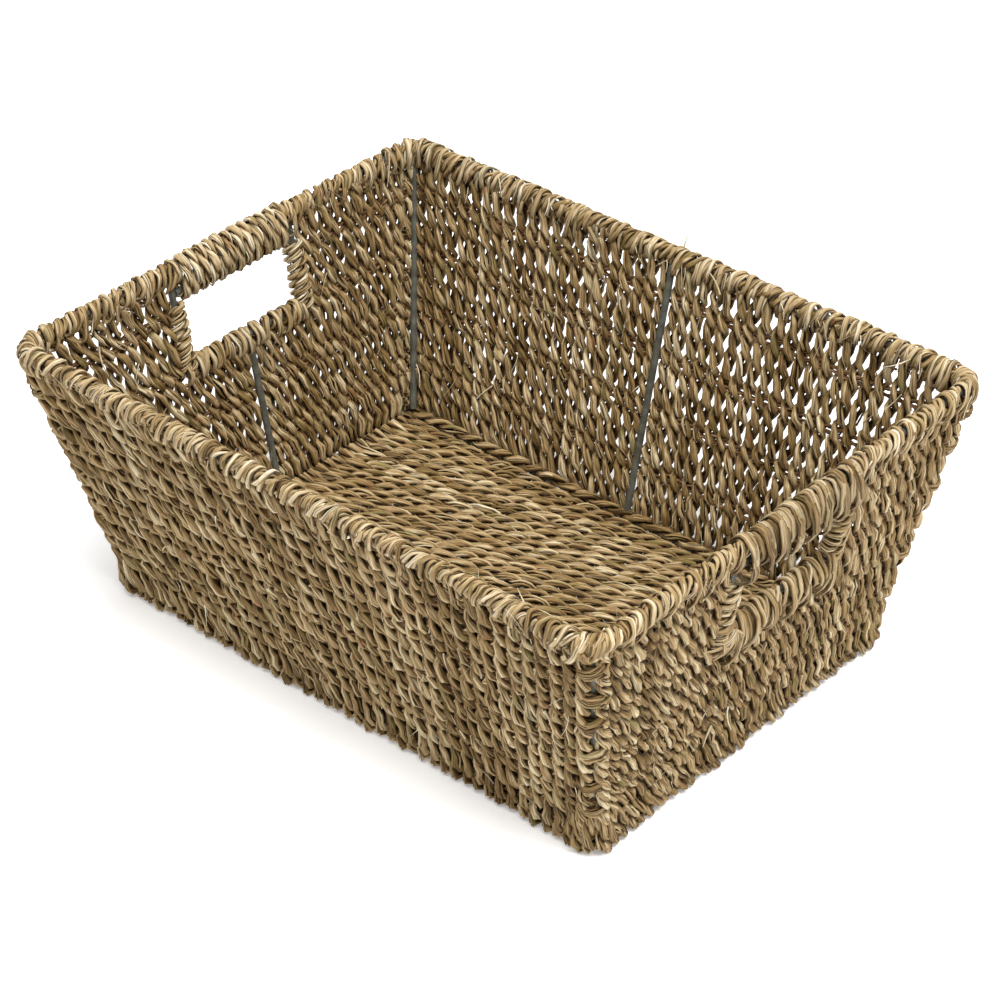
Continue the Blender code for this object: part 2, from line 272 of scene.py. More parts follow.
    def lay_over(
        self,
        tree: bpy.types.NodeTree,
        amount: bpy.types.Node,
        under: bpy.types.NodeSocket,
        tint: str,
    ) -> bpy.types.NodeSocket:
        """Lay a colour over another.

        Args:
            tree: The material's tree.
            amount: How much of the upper colour shows.
            under: The colour underneath.
            tint: The upper colour, as hex.

        Returns:
            The mixed colour.
        """
        sockets = {0: amount, 6: under, 7: linear_colour(tint)}
        return add_node(tree, "ShaderNodeMix", sockets, data_type="RGBA").outputs[2]

    def colour_ramp(self, ramp: bpy.types.ColorRamp) -> None:
        """Set the colours from the darkest strand to the palest.

        Args:
            ramp: The ramp to set.
        """
        ramp.elements[0].position = 0.0
        ramp.elements[0].color = linear_colour(self.dark)
        ramp.elements[1].position = 1.0
        ramp.elements[1].color = linear_colour(self.pale)
        for place, colour in ((0.35, self.middle), (0.68, self.light)):
            ramp.elements.new(place).color = linear_colour(colour)


@dataclass(frozen=True)
class WirePaint:
    """Dip-painted mild steel: a thin, slightly uneven semi-matt coat that pools and scuffs a little."""

    name: str = "dip_painted_steel_wire"
    colour: str = "#4a4a42"
    scuffed: str = "#6b6b60"
    roughness: float = 0.42
    mottle_size: float = 0.006
    peel_size: float = 0.0009

    def build(self) -> bpy.types.Material:
        """Make the material.

        Returns:
            The material.
        """
        material = bpy.data.materials.new(self.name)
        material.use_nodes = True
        tree = material.node_tree
        shader = tree.nodes["Principled BSDF"]
        place = add_node(tree, "ShaderNodeTexCoord").outputs["Object"]
        mottle = add_node(
            tree,
            "ShaderNodeTexNoise",
            {"Vector": place, "Scale": 1 / self.mottle_size, "Detail": 4.0},
        )
        peel = add_node(
            tree, "ShaderNodeTexNoise", {"Vector": place, "Scale": 1 / self.peel_size, "Detail": 2.0}
        )
        ramp = add_node(tree, "ShaderNodeValToRGB", {"Fac": mottle})
        ramp.color_ramp.elements[0].position = 0.42
        ramp.color_ramp.elements[0].color = linear_colour(self.colour)
        ramp.color_ramp.elements[1].position = 0.74
        ramp.color_ramp.elements[1].color = linear_colour(self.scuffed)
        tree.links.new(ramp.outputs["Color"], shader.inputs["Base Color"])
        rough = add_node(
            tree,
            "ShaderNodeMapRange",
            {"Value": mottle, "To Min": self.roughness - 0.1, "To Max": self.roughness + 0.15},
        )
        tree.links.new(rough.outputs[0], shader.inputs["Roughness"])
        bump = add_node(tree, "ShaderNodeBump", {"Height": peel, "Distance": 0.0001, "Strength": 0.4})
        tree.links.new(bump.outputs[0], shader.inputs["Normal"])
        return material


# Centre lines


@dataclass
class Line:
    """The centre line of one cord, with what changes along it."""

    points: list[Vector] = field(default_factory=list)
    sides: list[Vector] = field(default_factory=list)
    twist: list[float] = field(default_factory=list)
    girth: list[float] = field(default_factory=list)
    spread: list[float] = field(default_factory=list)
    tone: float = 0.5

    def add(
        self, point: Vector, side: Vector, twist: float, girth: float = 1.0, spread: float = 1.0
    ) -> None:
        """Add a point.

        Args:
            point: Where the cord's middle is.
            side: The direction that its first ply lies in when the twist is zero.
            twist: The plies' angle.
            girth: The cord's size against its usual one.
            spread: The plies' distance apart when they lie side by side, against the usual one.
        """
        self.points.append(point)
        self.sides.append(side)
        self.twist.append(twist)
        self.girth.append(girth)
        self.spread.append(spread)


def lines_to_mesh(name: str, lines: Sequence[Line]) -> bpy.types.Mesh:
    """Lay centre lines into one mesh of loose edges that a tree can read.

    Args:
        name: The mesh's name.
        lines: The centre lines.

    Returns:
        The mesh, with an attribute for each thing that changes along a line.
    """
    points = [tuple(point) for line in lines for point in line.points]
    edges = []
    start = 0
    for line in lines:
        edges += [(start + i, start + i + 1) for i in range(len(line.points) - 1)]
        start += len(line.points)
    mesh = bpy.data.meshes.new(name)
    mesh.from_pydata(points, edges, [])
    columns = {
        "twist": [value for line in lines for value in line.twist],
        "girth": [value for line in lines for value in line.girth],
        "spread": [value for line in lines for value in line.spread],
        "tone": [line.tone for line in lines for _ in line.points],
    }
    for label, values in columns.items():
        mesh.attributes.new(label, "FLOAT", "POINT").data.foreach_set("value", values)
    sides = [value for line in lines for side in line.sides for value in side]
    mesh.attributes.new("side", "FLOAT_VECTOR", "POINT").data.foreach_set("vector", sides)
    return mesh


@dataclass
class Rail:
    """A line that blades are wound round, with the direction that is up the wall at each point."""

    points: list[Vector]
    ups: list[Vector]


def rail_to_mesh(name: str, rail: Rail) -> bpy.types.Mesh:
    """Lay a rail into a mesh of loose edges.

    Args:
        name: The mesh's name.
        rail: The rail.

    Returns:
        The mesh, with the wall's upward direction as an attribute.
    """
    mesh = bpy.data.meshes.new(name)
    edges = [(i, i + 1) for i in range(len(rail.points) - 1)]
    mesh.from_pydata([tuple(point) for point in rail.points], edges, [])
    flat = [value for up in rail.ups for value in up]
    mesh.attributes.new("up", "FLOAT_VECTOR", "POINT").data.foreach_set("vector", flat)
    return mesh


# Geometry Nodes trees


MATH = "ShaderNodeMath"
VECTOR = "ShaderNodeVectorMath"
NAMED = "GeometryNodeInputNamedAttribute"
POSITION = "GeometryNodeInputPosition"


class BladeTree:
    """What every tree shares: its inputs, its arithmetic, and a blade's flat skin."""

    NAME = ""
    SIZES: dict[str, float] = {}
    SIDES = 6
    SECTION_RADIUS = 1.0

    def __init__(self) -> None:
        """Start the tree and build it to its end."""
        self.tree = new_tree(self.NAME, self.SIZES)
        self.given = self.tree.nodes["Group Input"].outputs
        finish_tree(self.tree, self.build())

    def build(self) -> bpy.types.Node:
        """Build the tree's own part, up to the skin with what its finish reads."""
        raise NotImplementedError

    def add(self, kind: str, *feeds: object, **settings: object) -> bpy.types.Node:
        """Add a node to this tree.

        Args:
            kind: The node's type.
            feeds: What its inputs are given: one value after another, or a single dict by name.
            settings: The node's own settings.

        Returns:
            The node.
        """
        if len(feeds) == 1 and isinstance(feeds[0], dict):
            return add_node(self.tree, kind, feeds[0], **settings)
        return add_node(self.tree, kind, dict(enumerate(feeds)), **settings)

    def length(self) -> bpy.types.NodeSocket:
        """The distance of each point from its line's start."""
        return self.add("GeometryNodeSplineParameter").outputs["Length"]

    def seeds(self) -> bpy.types.Node:
        """A random vector for each element, from -1 to 1 each way."""
        feeds = {0: (-1.0, -1.0, -1.0), 1: (1.0, 1.0, 1.0), "Seed": self.given["Seed"]}
        return self.add("FunctionNodeRandomValue", feeds, data_type="FLOAT_VECTOR")

    def keep(self, geometry: object, domain: str, **values: object) -> list[bpy.types.NodeSocket]:
        """Hold values as they are at this step, so that a later step can read them.

        Args:
            geometry: The geometry that carries them.
            domain: What each value belongs to, POINT or CURVE.
            values: The values, by name.

        Returns:
            The geometry, then the values in their order.
        """
        node = self.add("GeometryNodeCaptureAttribute", domain=domain)
        for label, value in values.items():
            kind = "VECTOR" if first_output(value).type == "VECTOR" else "FLOAT"
            node.capture_items.new(kind, label)
        for socket, value in zip(node.inputs, (geometry, *values.values())):
            self.tree.links.new(first_output(value), socket)
        return node.outputs[: len(values) + 1]

    def even_line(self, spacing: str, resolution: int = 0) -> bpy.types.Node:
        """The centre lines with evenly spaced points.

        Args:
            spacing: The input that holds the points' spacing.
            resolution: How finely the lines are rounded first, or 0 to leave them.

        Returns:
            The node that holds the lines.
        """
        line = self.add("GeometryNodeMeshToCurve", {"Mesh": self.given["Geometry"]})
        if resolution:
            line = self.add("GeometryNodeCurveSplineType", {"Curve": line}, spline_type="CATMULL_ROM")
            line = self.add("GeometryNodeSetSplineResolution", {"Geometry": line, "Resolution": resolution})
        feeds = {"Curve": line, "Length": self.given[spacing]}
        return self.add("GeometryNodeResampleCurve", feeds, mode="LENGTH")

    def section(self, along_x: str, along_y: str) -> list[bpy.types.NodeSocket]:
        """A flat blade's section, with each point's place on it.

        Args:
            along_x: The input that holds its size along X.
            along_y: The input that holds its size along Y.

        Returns:
            The section's curve, and the place on it.
        """
        feeds = {"Resolution": self.SIDES, "Radius": self.SECTION_RADIUS}
        circle = self.add("GeometryNodeCurvePrimitiveCircle", feeds)
        feeds = {"X": self.given[along_x], "Y": self.given[along_y], "Z": 1.0}
        flatness = self.add("ShaderNodeCombineXYZ", feeds)
        place = self.add(POSITION)
        feeds = {"Geometry": circle, "Position": self.add(VECTOR, place, flatness, operation="MULTIPLY")}
        return self.keep(self.add("GeometryNodeSetPosition", feeds), "POINT", section=place)

    def skin(self, lines: object, profile: object, size: object) -> bpy.types.Node:
        """Sweep a section along the lines, closed at both ends.

        Args:
            lines: The lines.
            profile: The section.
            size: The section's size along each line.

        Returns:
            The skin's node.
        """
        feeds = {"Curve": lines, "Profile Curve": profile, "Scale": size, "Fill Caps": True}
        return self.add("GeometryNodeCurveToMesh", feeds)

    def press_to_floor(self, skin: bpy.types.Node) -> bpy.types.Node:
        """Keep a skin on top of the floor, flattened where it rests on it."""
        parts = self.add("ShaderNodeSeparateXYZ", {0: self.add(POSITION)})
        height = self.add(MATH, parts.outputs["Z"], self.given["Floor"], operation="MAXIMUM")
        feeds = {"X": parts.outputs["X"], "Y": parts.outputs["Y"], "Z": height}
        place = self.add("ShaderNodeCombineXYZ", feeds)
        return self.add("GeometryNodeSetPosition", {"Geometry": skin, "Position": place})

    def store_finish(
        self, skin: object, section: object, length: object, seed: object, outward: object, tone: object
    ) -> bpy.types.Node:
        """Store what the finish reads: the grain's place, how far outwards a point lies, and the tone.

        Args:
            skin: The swept skin.
            section: The place on the section.
            length: The place along the strand.
            seed: The strand's own seed.
            outward: How far outwards a point lies, from 0 in the crevices to 1.
            tone: The strand's tone, from 0, dark, to 1.

        Returns:
            The last node.
        """
        along = self.add("ShaderNodeCombineXYZ", {"Z": length})
        grain = self.add(VECTOR, self.add(VECTOR, section, along, operation="ADD"), seed, operation="ADD")
        last = skin
        for label, kind, value in (
            ("grain", "FLOAT_VECTOR", grain),
            ("outward", "FLOAT", outward),
            ("tone", "FLOAT", tone),
        ):
            feeds = {"Geometry": last, "Name": label, "Value": value}
            last = self.add("GeometryNodeStoreNamedAttribute", feeds, data_type=kind, domain="POINT")
        return last


class CordTree(BladeTree):
    """Twists two plies about each centre line, each ply a bundle of blades turned the other way.

    The plies' own twist undoes the cord's, as in real cord, so that the blades run nearly straight along it.
    """

    NAME = "twisted_cord"
    SIZES = {
        "Step": 0.0031,
        "Ply offset": 0.00150,
        "Bundle depth": 0.00088,
        "Bundle width": 0.00142,
        "Back twist": 0.88,
        "Dwell": 0.26,  # how long a ply stays in front before it passes behind
        "Blade thickness": 0.00064,
        "Blade width": 0.00118,
        "Wobble": 0.00042,
        "Unevenness": 0.36,
        "Floor": FLOOR_CLEARANCE,
    }
    PLIES = 2
    BLADES = 4
    ROUNDING = 4
    FAN_CHANCE = 0.24  # of the angle between a ply's blades
    SIZE_CHANCE = 0.16
    TONE_CHANCE = 0.20
    THINNEST = 0.35
    WOBBLE_RATE = 90.0  # turns of the drift in a metre
    UNEVENNESS_RATE = 75.0
    CREVICE = 0.30  # share of the cord's radius that lies in its crevices

    def build(self) -> bpy.types.Node:
        """Copy each line once for each blade, twist the copies and skin them."""
        feeds = {"Geometry": self.even_line("Step", self.ROUNDING), "Amount": self.PLIES * self.BLADES}
        blades = self.add("GeometryNodeDuplicateElements", feeds, domain="SPLINE")
        return self.sweep(self.twist_blades(blades))

    def twist_blades(self, blades: bpy.types.Node) -> bpy.types.Node:
        """Move each blade off the cord's centre line to its place in its ply.

        Args:
            blades: The node that copied each line once for each blade.

        Returns:
            The node that holds the moved lines. The tree keeps their core, direction and seed.
        """
        geometry, self.seed = self.keep(blades.outputs["Geometry"], "CURVE", seed=self.seeds())
        self.chance = self.add("ShaderNodeSeparateXYZ", {0: self.seed})

        index = blades.outputs["Duplicate Index"]
        ply = self.add(MATH, index, float(self.PLIES), operation="MODULO")
        blade = self.add(
            MATH, self.add(MATH, index, float(self.PLIES), operation="DIVIDE"), operation="FLOOR"
        )
        doubled = self.add(
            MATH,
            self.add(
                MATH, self.add(NAMED, {"Name": "twist"}, data_type="FLOAT"), 2.0, operation="MULTIPLY"
            ),
            operation="SINE",
        )
        doubled = self.add(MATH, doubled, self.given["Dwell"], operation="MULTIPLY")
        twist = self.add(
            MATH, self.add(NAMED, {"Name": "twist"}, data_type="FLOAT"), doubled, operation="SUBTRACT"
        )
        angle = self.add(MATH, ply, math.pi, twist, operation="MULTIPLY_ADD")
        fan = self.add(MATH, self.chance.outputs["X"], self.FAN_CHANCE, blade, operation="MULTIPLY_ADD")
        fan = self.add(MATH, fan, math.tau / self.BLADES, operation="MULTIPLY")
        fan = self.add(
            MATH,
            fan,
            self.add(MATH, twist, self.given["Back twist"], operation="MULTIPLY"),
            operation="SUBTRACT",
        )

        tangent = self.add("GeometryNodeInputTangent")
        side = self.add(NAMED, {"Name": "side"}, data_type="FLOAT_VECTOR")
        across = self.add(
            VECTOR, self.add(VECTOR, tangent, side, operation="CROSS_PRODUCT"), operation="NORMALIZE"
        )
        upright = self.add(VECTOR, across, tangent, operation="CROSS_PRODUCT")
        away = self.turned(upright, across, angle)
        aside = self.add(VECTOR, tangent, away, operation="CROSS_PRODUCT")
        direction = self.turned(away, aside, fan)
        geometry, self.core, self.direction = self.keep(
            geometry, "POINT", core=self.add(POSITION), direction=direction
        )

        girth = self.add(NAMED, {"Name": "girth"}, data_type="FLOAT")
        sideways = self.add(
            MATH,
            self.add(MATH, self.add(NAMED, {"Name": "twist"}, data_type="FLOAT"), operation="SINE"),
            2.0,
            operation="POWER",
        )
        spread = self.add(
            MATH, self.add(NAMED, {"Name": "spread"}, data_type="FLOAT"), -1.0, operation="ADD"
        )
        spread = self.add(MATH, sideways, spread, 1.0, operation="MULTIPLY_ADD")
        reach = self.add(MATH, self.given["Ply offset"], spread, operation="MULTIPLY")
        step = self.add(
            VECTOR,
            {0: away, "Scale": self.add(MATH, reach, girth, operation="MULTIPLY")},
            operation="SCALE",
        )
        deep = self.add(MATH, self.given["Bundle depth"], girth, operation="MULTIPLY")
        wider = self.add(
            MATH, self.given["Bundle width"], self.given["Bundle depth"], operation="SUBTRACT"
        )
        wider = self.add(
            MATH,
            self.add(MATH, wider, girth, operation="MULTIPLY"),
            self.add(MATH, fan, operation="SINE"),
            operation="MULTIPLY",
        )
        fanned = self.add(
            VECTOR,
            self.add(VECTOR, {0: direction, "Scale": deep}, operation="SCALE"),
            self.add(VECTOR, {0: aside, "Scale": wider}, operation="SCALE"),
            operation="ADD",
        )
        shift = self.drift(self.WOBBLE_RATE, self.given["Wobble"])
        total = self.add(VECTOR, self.add(VECTOR, step, fanned, operation="ADD"), shift, operation="ADD")
        return self.add("GeometryNodeSetPosition", {"Geometry": geometry, "Offset": total})

    def turned(
        self, first: bpy.types.Node, second: bpy.types.Node, angle: bpy.types.Node
    ) -> bpy.types.Node:
        """A direction turned from one axis towards another.

        Args:
            first: The direction at angle zero.
            second: The direction a quarter turn on.
            angle: The angle.

        Returns:
            The node that gives the direction.
        """
        near = self.add(
            VECTOR, {0: first, "Scale": self.add(MATH, angle, operation="COSINE")}, operation="SCALE"
        )
        far = self.add(
            VECTOR, {0: second, "Scale": self.add(MATH, angle, operation="SINE")}, operation="SCALE"
        )
        return self.add(VECTOR, near, far, operation="ADD")

    def drift(self, rate: float, size: bpy.types.NodeSocket) -> bpy.types.Node:
        """A smooth random shift, different for each blade.

        Args:
            rate: How quickly the shift changes, per metre.
            size: Its usual size.

        Returns:
            The node that gives the shift.
        """
        feeds = {
            "Vector": self.add(VECTOR, self.seed, self.add(POSITION), operation="ADD"),
            "Scale": rate,
            "Detail": 1.0,
        }
        pattern = self.add("ShaderNodeTexNoise", feeds)
        centred = self.add(VECTOR, pattern.outputs["Color"], (0.5, 0.5, 0.5), operation="SUBTRACT")
        # The noise mostly stays within a fifth of its middle
        return self.add(
            VECTOR,
            {0: centred, "Scale": self.add(MATH, size, 5.0, operation="MULTIPLY")},
            operation="SCALE",
        )

    def sweep(self, moved: bpy.types.Node) -> bpy.types.Node:
        """Give each blade its flat skin and what its finish reads.

        Args:
            moved: The blades' lines.

        Returns:
            The skin's node.
        """
        feeds = {"Curve": moved, "Normal": self.direction}
        facing = self.add("GeometryNodeSetCurveNormal", feeds, mode="FREE")
        lines, length = self.keep(facing, "POINT", length=self.length())
        uneven = self.drift(self.UNEVENNESS_RATE, self.given["Unevenness"])
        uneven = self.add("ShaderNodeSeparateXYZ", {0: uneven})
        swell = self.add(MATH, self.chance.outputs["Y"], self.SIZE_CHANCE, 1.0, operation="MULTIPLY_ADD")
        swell = self.add(
            MATH, self.add(MATH, swell, uneven, operation="ADD"), self.THINNEST, operation="MAXIMUM"
        )
        profile, section = self.section("Blade thickness", "Blade width")
        skin = self.skin(
            lines,
            profile,
            self.add(
                MATH, swell, self.add(NAMED, {"Name": "girth"}, data_type="FLOAT"), operation="MULTIPLY"
            ),
        )
        pressed = self.press_to_floor(skin)

        # How far out a point lies on its cord. From this, the finish paints shade on the inner points and a
        # paler highlight on the outer ones
        usual = self.add(MATH, self.given["Ply offset"], self.given["Bundle depth"], operation="ADD")
        usual = self.add(MATH, usual, self.given["Blade thickness"], operation="ADD")
        radius = self.add(
            VECTOR,
            self.add(VECTOR, self.add(POSITION), self.core, operation="SUBTRACT"),
            operation="LENGTH",
        ).outputs["Value"]
        share = self.add(
            MATH,
            radius,
            self.add(
                MATH, usual, self.add(NAMED, {"Name": "girth"}, data_type="FLOAT"), operation="MULTIPLY"
            ),
            operation="DIVIDE",
        )
        feeds = {"Value": share, "From Min": self.CREVICE, "From Max": 1.0}
        outward = self.add("ShaderNodeMapRange", feeds)
        tone = self.add(
            MATH,
            self.chance.outputs["Z"],
            self.TONE_CHANCE,
            self.add(NAMED, {"Name": "tone"}, data_type="FLOAT"),
            operation="MULTIPLY_ADD",
        )
        return self.store_finish(pressed, section, length, self.seed, outward, tone)


class WindingTree(BladeTree):
    """Winds overlapping flat blades round a rail, drawn together in bundles of a few."""

    NAME = "wound_blades"
    SIZES = {
        "Spacing": 0.0018,
        "Radius": 0.0043,
        "Drop": 0.0,
        "Tail": 0.009,
        "Belly": 0.0,
        "Squareness": 0.0,
        "Blade width": 0.0029,
        "Blade thickness": 0.0013,
        "Slant": -0.013,
        "Looseness": 0.13,
        "Bundle": 4.5,
        "Swell": 0.12,
        "Gather": 0.45,
        "Tilt": 0.42,
        "Tone": 0.5,
    }
    SECTION_RADIUS = 0.5
    TURN_POINTS = 22
    OVERLAP = 1.06  # of a turn, so that a blade's end lies under its start
    TUCK_START = 0.44  # share of a half turn after which the ends are tucked in
    TUCKED = 0.78  # of the radius
    LENGTH_CHANCE = 0.10
    SPACING_CHANCE = 0.3
    TONE_CHANCE = 0.22
    LOOSE_RATE = 150.0
    LOOSE_SIZE = 0.0030
    NARROWING_RATE = 110.0

    def build(self) -> bpy.types.Node:
        """Set a turn of blade at each even step along the rail, and skin them all."""
        points, self.axis, centre, self.seed = self.keep(
            self.even_line("Spacing"),
            "POINT",
            axis=self.add("GeometryNodeInputTangent"),
            centre=self.add(POSITION),
            seed=self.seeds(),
        )
        self.chance = self.add("ShaderNodeSeparateXYZ", {0: self.seed})
        index = self.add("GeometryNodeInputIndex")
        share = self.add(
            MATH,
            self.add(MATH, index, self.given["Bundle"], operation="DIVIDE"),
            math.tau,
            operation="MULTIPLY",
        )
        facing = self.add(
            "FunctionNodeAxesToRotation",
            {
                "Primary Axis": self.axis,
                "Secondary Axis": self.add(NAMED, {"Name": "up"}, data_type="FLOAT_VECTOR"),
            },
            primary_axis="Z",
            secondary_axis="Y",
        )
        tilts = self.add(VECTOR, {0: self.seed, "Scale": self.given["Tilt"]}, operation="SCALE")
        parts = self.add("ShaderNodeSeparateXYZ", {0: tilts})
        lean = self.add("ShaderNodeCombineXYZ", {"X": parts.outputs["X"], "Y": parts.outputs["Y"]})
        tilt = self.add("FunctionNodeEulerToRotation", {0: lean})
        feeds = {"Rotation": facing, "Rotate By": tilt}
        turned = self.add("FunctionNodeRotateRotation", feeds, rotation_space="LOCAL")
        swell = self.add(
            MATH, self.add(MATH, share, operation="COSINE"), self.given["Swell"], operation="MULTIPLY"
        )
        loose = self.add(
            MATH, self.chance.outputs["X"], self.given["Looseness"], swell, operation="MULTIPLY_ADD"
        )
        wide = self.add(MATH, loose, 1.0, operation="ADD")
        tall = self.add(
            MATH, self.chance.outputs["Y"], self.LENGTH_CHANCE, wide, operation="MULTIPLY_ADD"
        )
        feeds = {
            "Points": self.gathered(points, share),
            "Instance": self.turn(),
            "Rotation": turned,
            "Scale": self.add("ShaderNodeCombineXYZ", {"X": wide, "Y": tall, "Z": 1.0}),
        }
        placed = self.add("GeometryNodeInstanceOnPoints", feeds)
        real = self.add("GeometryNodeRealizeInstances", {"Geometry": placed})
        return self.sweep(self.hang_tails(real))

    def gathered(self, points: bpy.types.NodeSocket, share: bpy.types.Node) -> bpy.types.Node:
        """Draw the blades of each bundle together, which leaves a slit between bundles.

        Args:
            points: The places along the rail.
            share: Each blade's place in its bundle, as an angle.

        Returns:
            The node that holds the moved places.
        """
        pull = self.add(
            MATH, self.add(MATH, share, operation="SINE"), self.given["Gather"], operation="MULTIPLY"
        )
        pull = self.add(
            MATH, self.chance.outputs["Z"], -self.SPACING_CHANCE, pull, operation="MULTIPLY_ADD"
        )
        pull = self.add(
            MATH,
            self.add(MATH, pull, self.given["Spacing"], operation="MULTIPLY"),
            -1.0,
            operation="MULTIPLY",
        )
        step = self.add(VECTOR, {0: self.axis, "Scale": pull}, operation="SCALE")
        return self.add("GeometryNodeSetPosition", {"Geometry": points, "Offset": step})

    def turn(self) -> bpy.types.NodeSocket:
        """One turn of a coil about Z, squared, dropped and bellied out where it holds two wires.

        Returns:
            The turn's curve.
        """
        given = self.given
        feeds = {"Curve": self.add("GeometryNodeCurvePrimitiveLine"), "Count": self.TURN_POINTS}
        points = self.add("GeometryNodeResampleCurve", feeds, mode="COUNT")
        share = self.add("GeometryNodeSplineParameter").outputs["Factor"]
        centred = self.add(MATH, share, -0.5, operation="ADD")
        angle = self.add(MATH, centred, math.tau * self.OVERLAP, math.pi / 2, operation="MULTIPLY_ADD")
        cosine = self.add(MATH, angle, operation="COSINE")
        sine = self.add(MATH, angle, operation="SINE")
        feeds = {
            "Value": self.add(MATH, centred, operation="ABSOLUTE"),
            "From Min": self.TUCK_START,
            "From Max": 0.5,
        }
        tucked = self.add("ShaderNodeMapRange", feeds | {"To Min": 1.0, "To Max": self.TUCKED})
        radius = self.add(MATH, given["Radius"], tucked, operation="MULTIPLY")
        below = self.add(
            MATH,
            self.add(MATH, cosine, cosine, operation="MULTIPLY"),
            given["Squareness"],
            1.0,
            operation="MULTIPLY_ADD",
        )
        ratio = self.add(
            MATH, self.add(MATH, given["Squareness"], 1.0, operation="ADD"), below, operation="DIVIDE"
        )
        wide = self.add(
            MATH,
            self.add(MATH, cosine, radius, operation="MULTIPLY"),
            self.add(MATH, ratio, operation="SQRT"),
            operation="MULTIPLY",
        )
        low = self.add(MATH, sine, -0.5, 0.5, operation="MULTIPLY_ADD")
        outer = self.add(
            MATH, self.add(MATH, cosine, -1.0, operation="MULTIPLY"), 0.0, operation="MAXIMUM"
        )
        belly = self.add(
            MATH, self.add(MATH, low, outer, operation="MULTIPLY"), given["Belly"], operation="MULTIPLY"
        )
        wide = self.add(MATH, wide, belly, operation="SUBTRACT")
        fall = self.add(MATH, given["Drop"], -1.0, operation="MULTIPLY")
        tall = self.add(
            MATH, low, fall, self.add(MATH, sine, radius, operation="MULTIPLY"), operation="MULTIPLY_ADD"
        )
        forward = self.add(MATH, centred, given["Slant"], operation="MULTIPLY")
        place = self.add("ShaderNodeCombineXYZ", {"X": wide, "Y": tall, "Z": forward})
        coil = self.add("GeometryNodeSetPosition", {"Geometry": points, "Position": place})
        curve, self.low = self.keep(coil, "POINT", low=low)
        return curve

    def hang_tails(self, real: bpy.types.Node) -> bpy.types.Node:
        """Let some turns hang lower than others, and give each a loose, uneven run.

        Args:
            real: The turns' lines.

        Returns:
            The node that holds the moved lines.
        """
        chance = self.add(MATH, self.chance.outputs["Z"], 0.5, 0.5, operation="MULTIPLY_ADD")
        tail = self.add(
            MATH, self.add(MATH, chance, 2.0, operation="POWER"), self.given["Tail"], operation="MULTIPLY"
        )
        fall = self.add(
            MATH, self.add(MATH, tail, self.low, operation="MULTIPLY"), -1.0, operation="MULTIPLY"
        )
        place = self.add(VECTOR, self.seed, self.add(POSITION), operation="ADD")
        feeds = {"Vector": place, "Scale": self.LOOSE_RATE, "Detail": 1.0}
        pattern = self.add("ShaderNodeTexNoise", feeds)
        centred = self.add(VECTOR, pattern.outputs["Color"], (0.5, 0.5, 0.5), operation="SUBTRACT")
        loose = self.add(VECTOR, {0: centred, "Scale": self.LOOSE_SIZE}, operation="SCALE")
        shift = self.add(
            VECTOR,
            loose,
            self.add(
                VECTOR,
                {0: self.add(NAMED, {"Name": "up"}, data_type="FLOAT_VECTOR"), "Scale": fall},
                operation="SCALE",
            ),
            operation="ADD",
        )
        return self.add("GeometryNodeSetPosition", {"Geometry": real, "Offset": shift})

    def sweep(self, real: bpy.types.Node) -> bpy.types.Node:
        """Give each turn its flat skin and what its finish reads.

        Args:
            real: The turns' lines.

        Returns:
            The skin's node.
        """
        tangent = self.add("GeometryNodeInputTangent")
        place = self.add(POSITION)
        cross = self.add(VECTOR, self.axis, tangent, operation="CROSS_PRODUCT")
        across = self.add(
            VECTOR, self.add(VECTOR, tangent, cross, operation="CROSS_PRODUCT"), operation="NORMALIZE"
        )
        facing = self.add("GeometryNodeSetCurveNormal", {"Curve": real, "Normal": across}, mode="FREE")
        away = self.add(VECTOR, across, tangent, operation="CROSS_PRODUCT")
        lines, middle, length, away = self.keep(
            facing, "POINT", middle=place, length=self.length(), away=away
        )
        profile, section = self.section("Blade width", "Blade thickness")
        feeds = {
            "Vector": self.add(VECTOR, self.seed, place, operation="ADD"),
            "Scale": self.NARROWING_RATE,
        }
        narrowing = self.add("ShaderNodeTexNoise", feeds)
        size = self.add(MATH, self.chance.outputs["Y"], 0.22, 0.55, operation="MULTIPLY_ADD")
        size = self.add(
            MATH, size, self.add(MATH, narrowing.outputs[0], 0.9, operation="MULTIPLY"), operation="ADD"
        )
        skin = self.skin(lines, profile, size)
        # From this, the finish paints shade on each blade's edges, where it tucks under its neighbours, and a
        # highlight on its faces
        spoke = self.add(
            VECTOR, self.add(VECTOR, place, middle, operation="SUBTRACT"), operation="NORMALIZE"
        )
        bulge = self.add(VECTOR, spoke, away, operation="DOT_PRODUCT").outputs["Value"]
        outward = self.add(
            MATH, self.add(MATH, bulge, operation="ABSOLUTE"), 0.7, 0.3, operation="MULTIPLY_ADD"
        )
        tone = self.add(
            MATH, self.chance.outputs["X"], self.TONE_CHANCE, self.given["Tone"], operation="MULTIPLY_ADD"
        )
        return self.store_finish(skin, section, length, self.seed, outward, tone)


class StrandTree(BladeTree):
    """Gives each centre line one thin flat blade."""

    NAME = "stray_blade"
    SIZES = {"Step": 0.0018, "Width": 0.00060, "Thickness": 0.00020, "Floor": FLOOR_CLEARANCE}
    SIDES = 5
    ROUNDING = 12
    # At this value the finish lays the painted highlight of an outer ridge on the blade, and no painted
    # crevice shade
    OUTWARD = 0.95  # nearly as far out as a blade can lie, so that it stays pale

    def build(self) -> bpy.types.Node:
        """Round each line and skin it."""
        lines, length = self.keep(self.even_line("Step", self.ROUNDING), "POINT", length=self.length())
        profile, section = self.section("Width", "Thickness")
        skin = self.press_to_floor(
            self.skin(lines, profile, self.add(NAMED, {"Name": "girth"}, data_type="FLOAT"))
        )
        tone = self.add(NAMED, {"Name": "tone"}, data_type="FLOAT")
        seed = self.add("ShaderNodeCombineXYZ", {"X": tone})
        return self.store_finish(skin, section, length, seed, self.OUTWARD, tone)


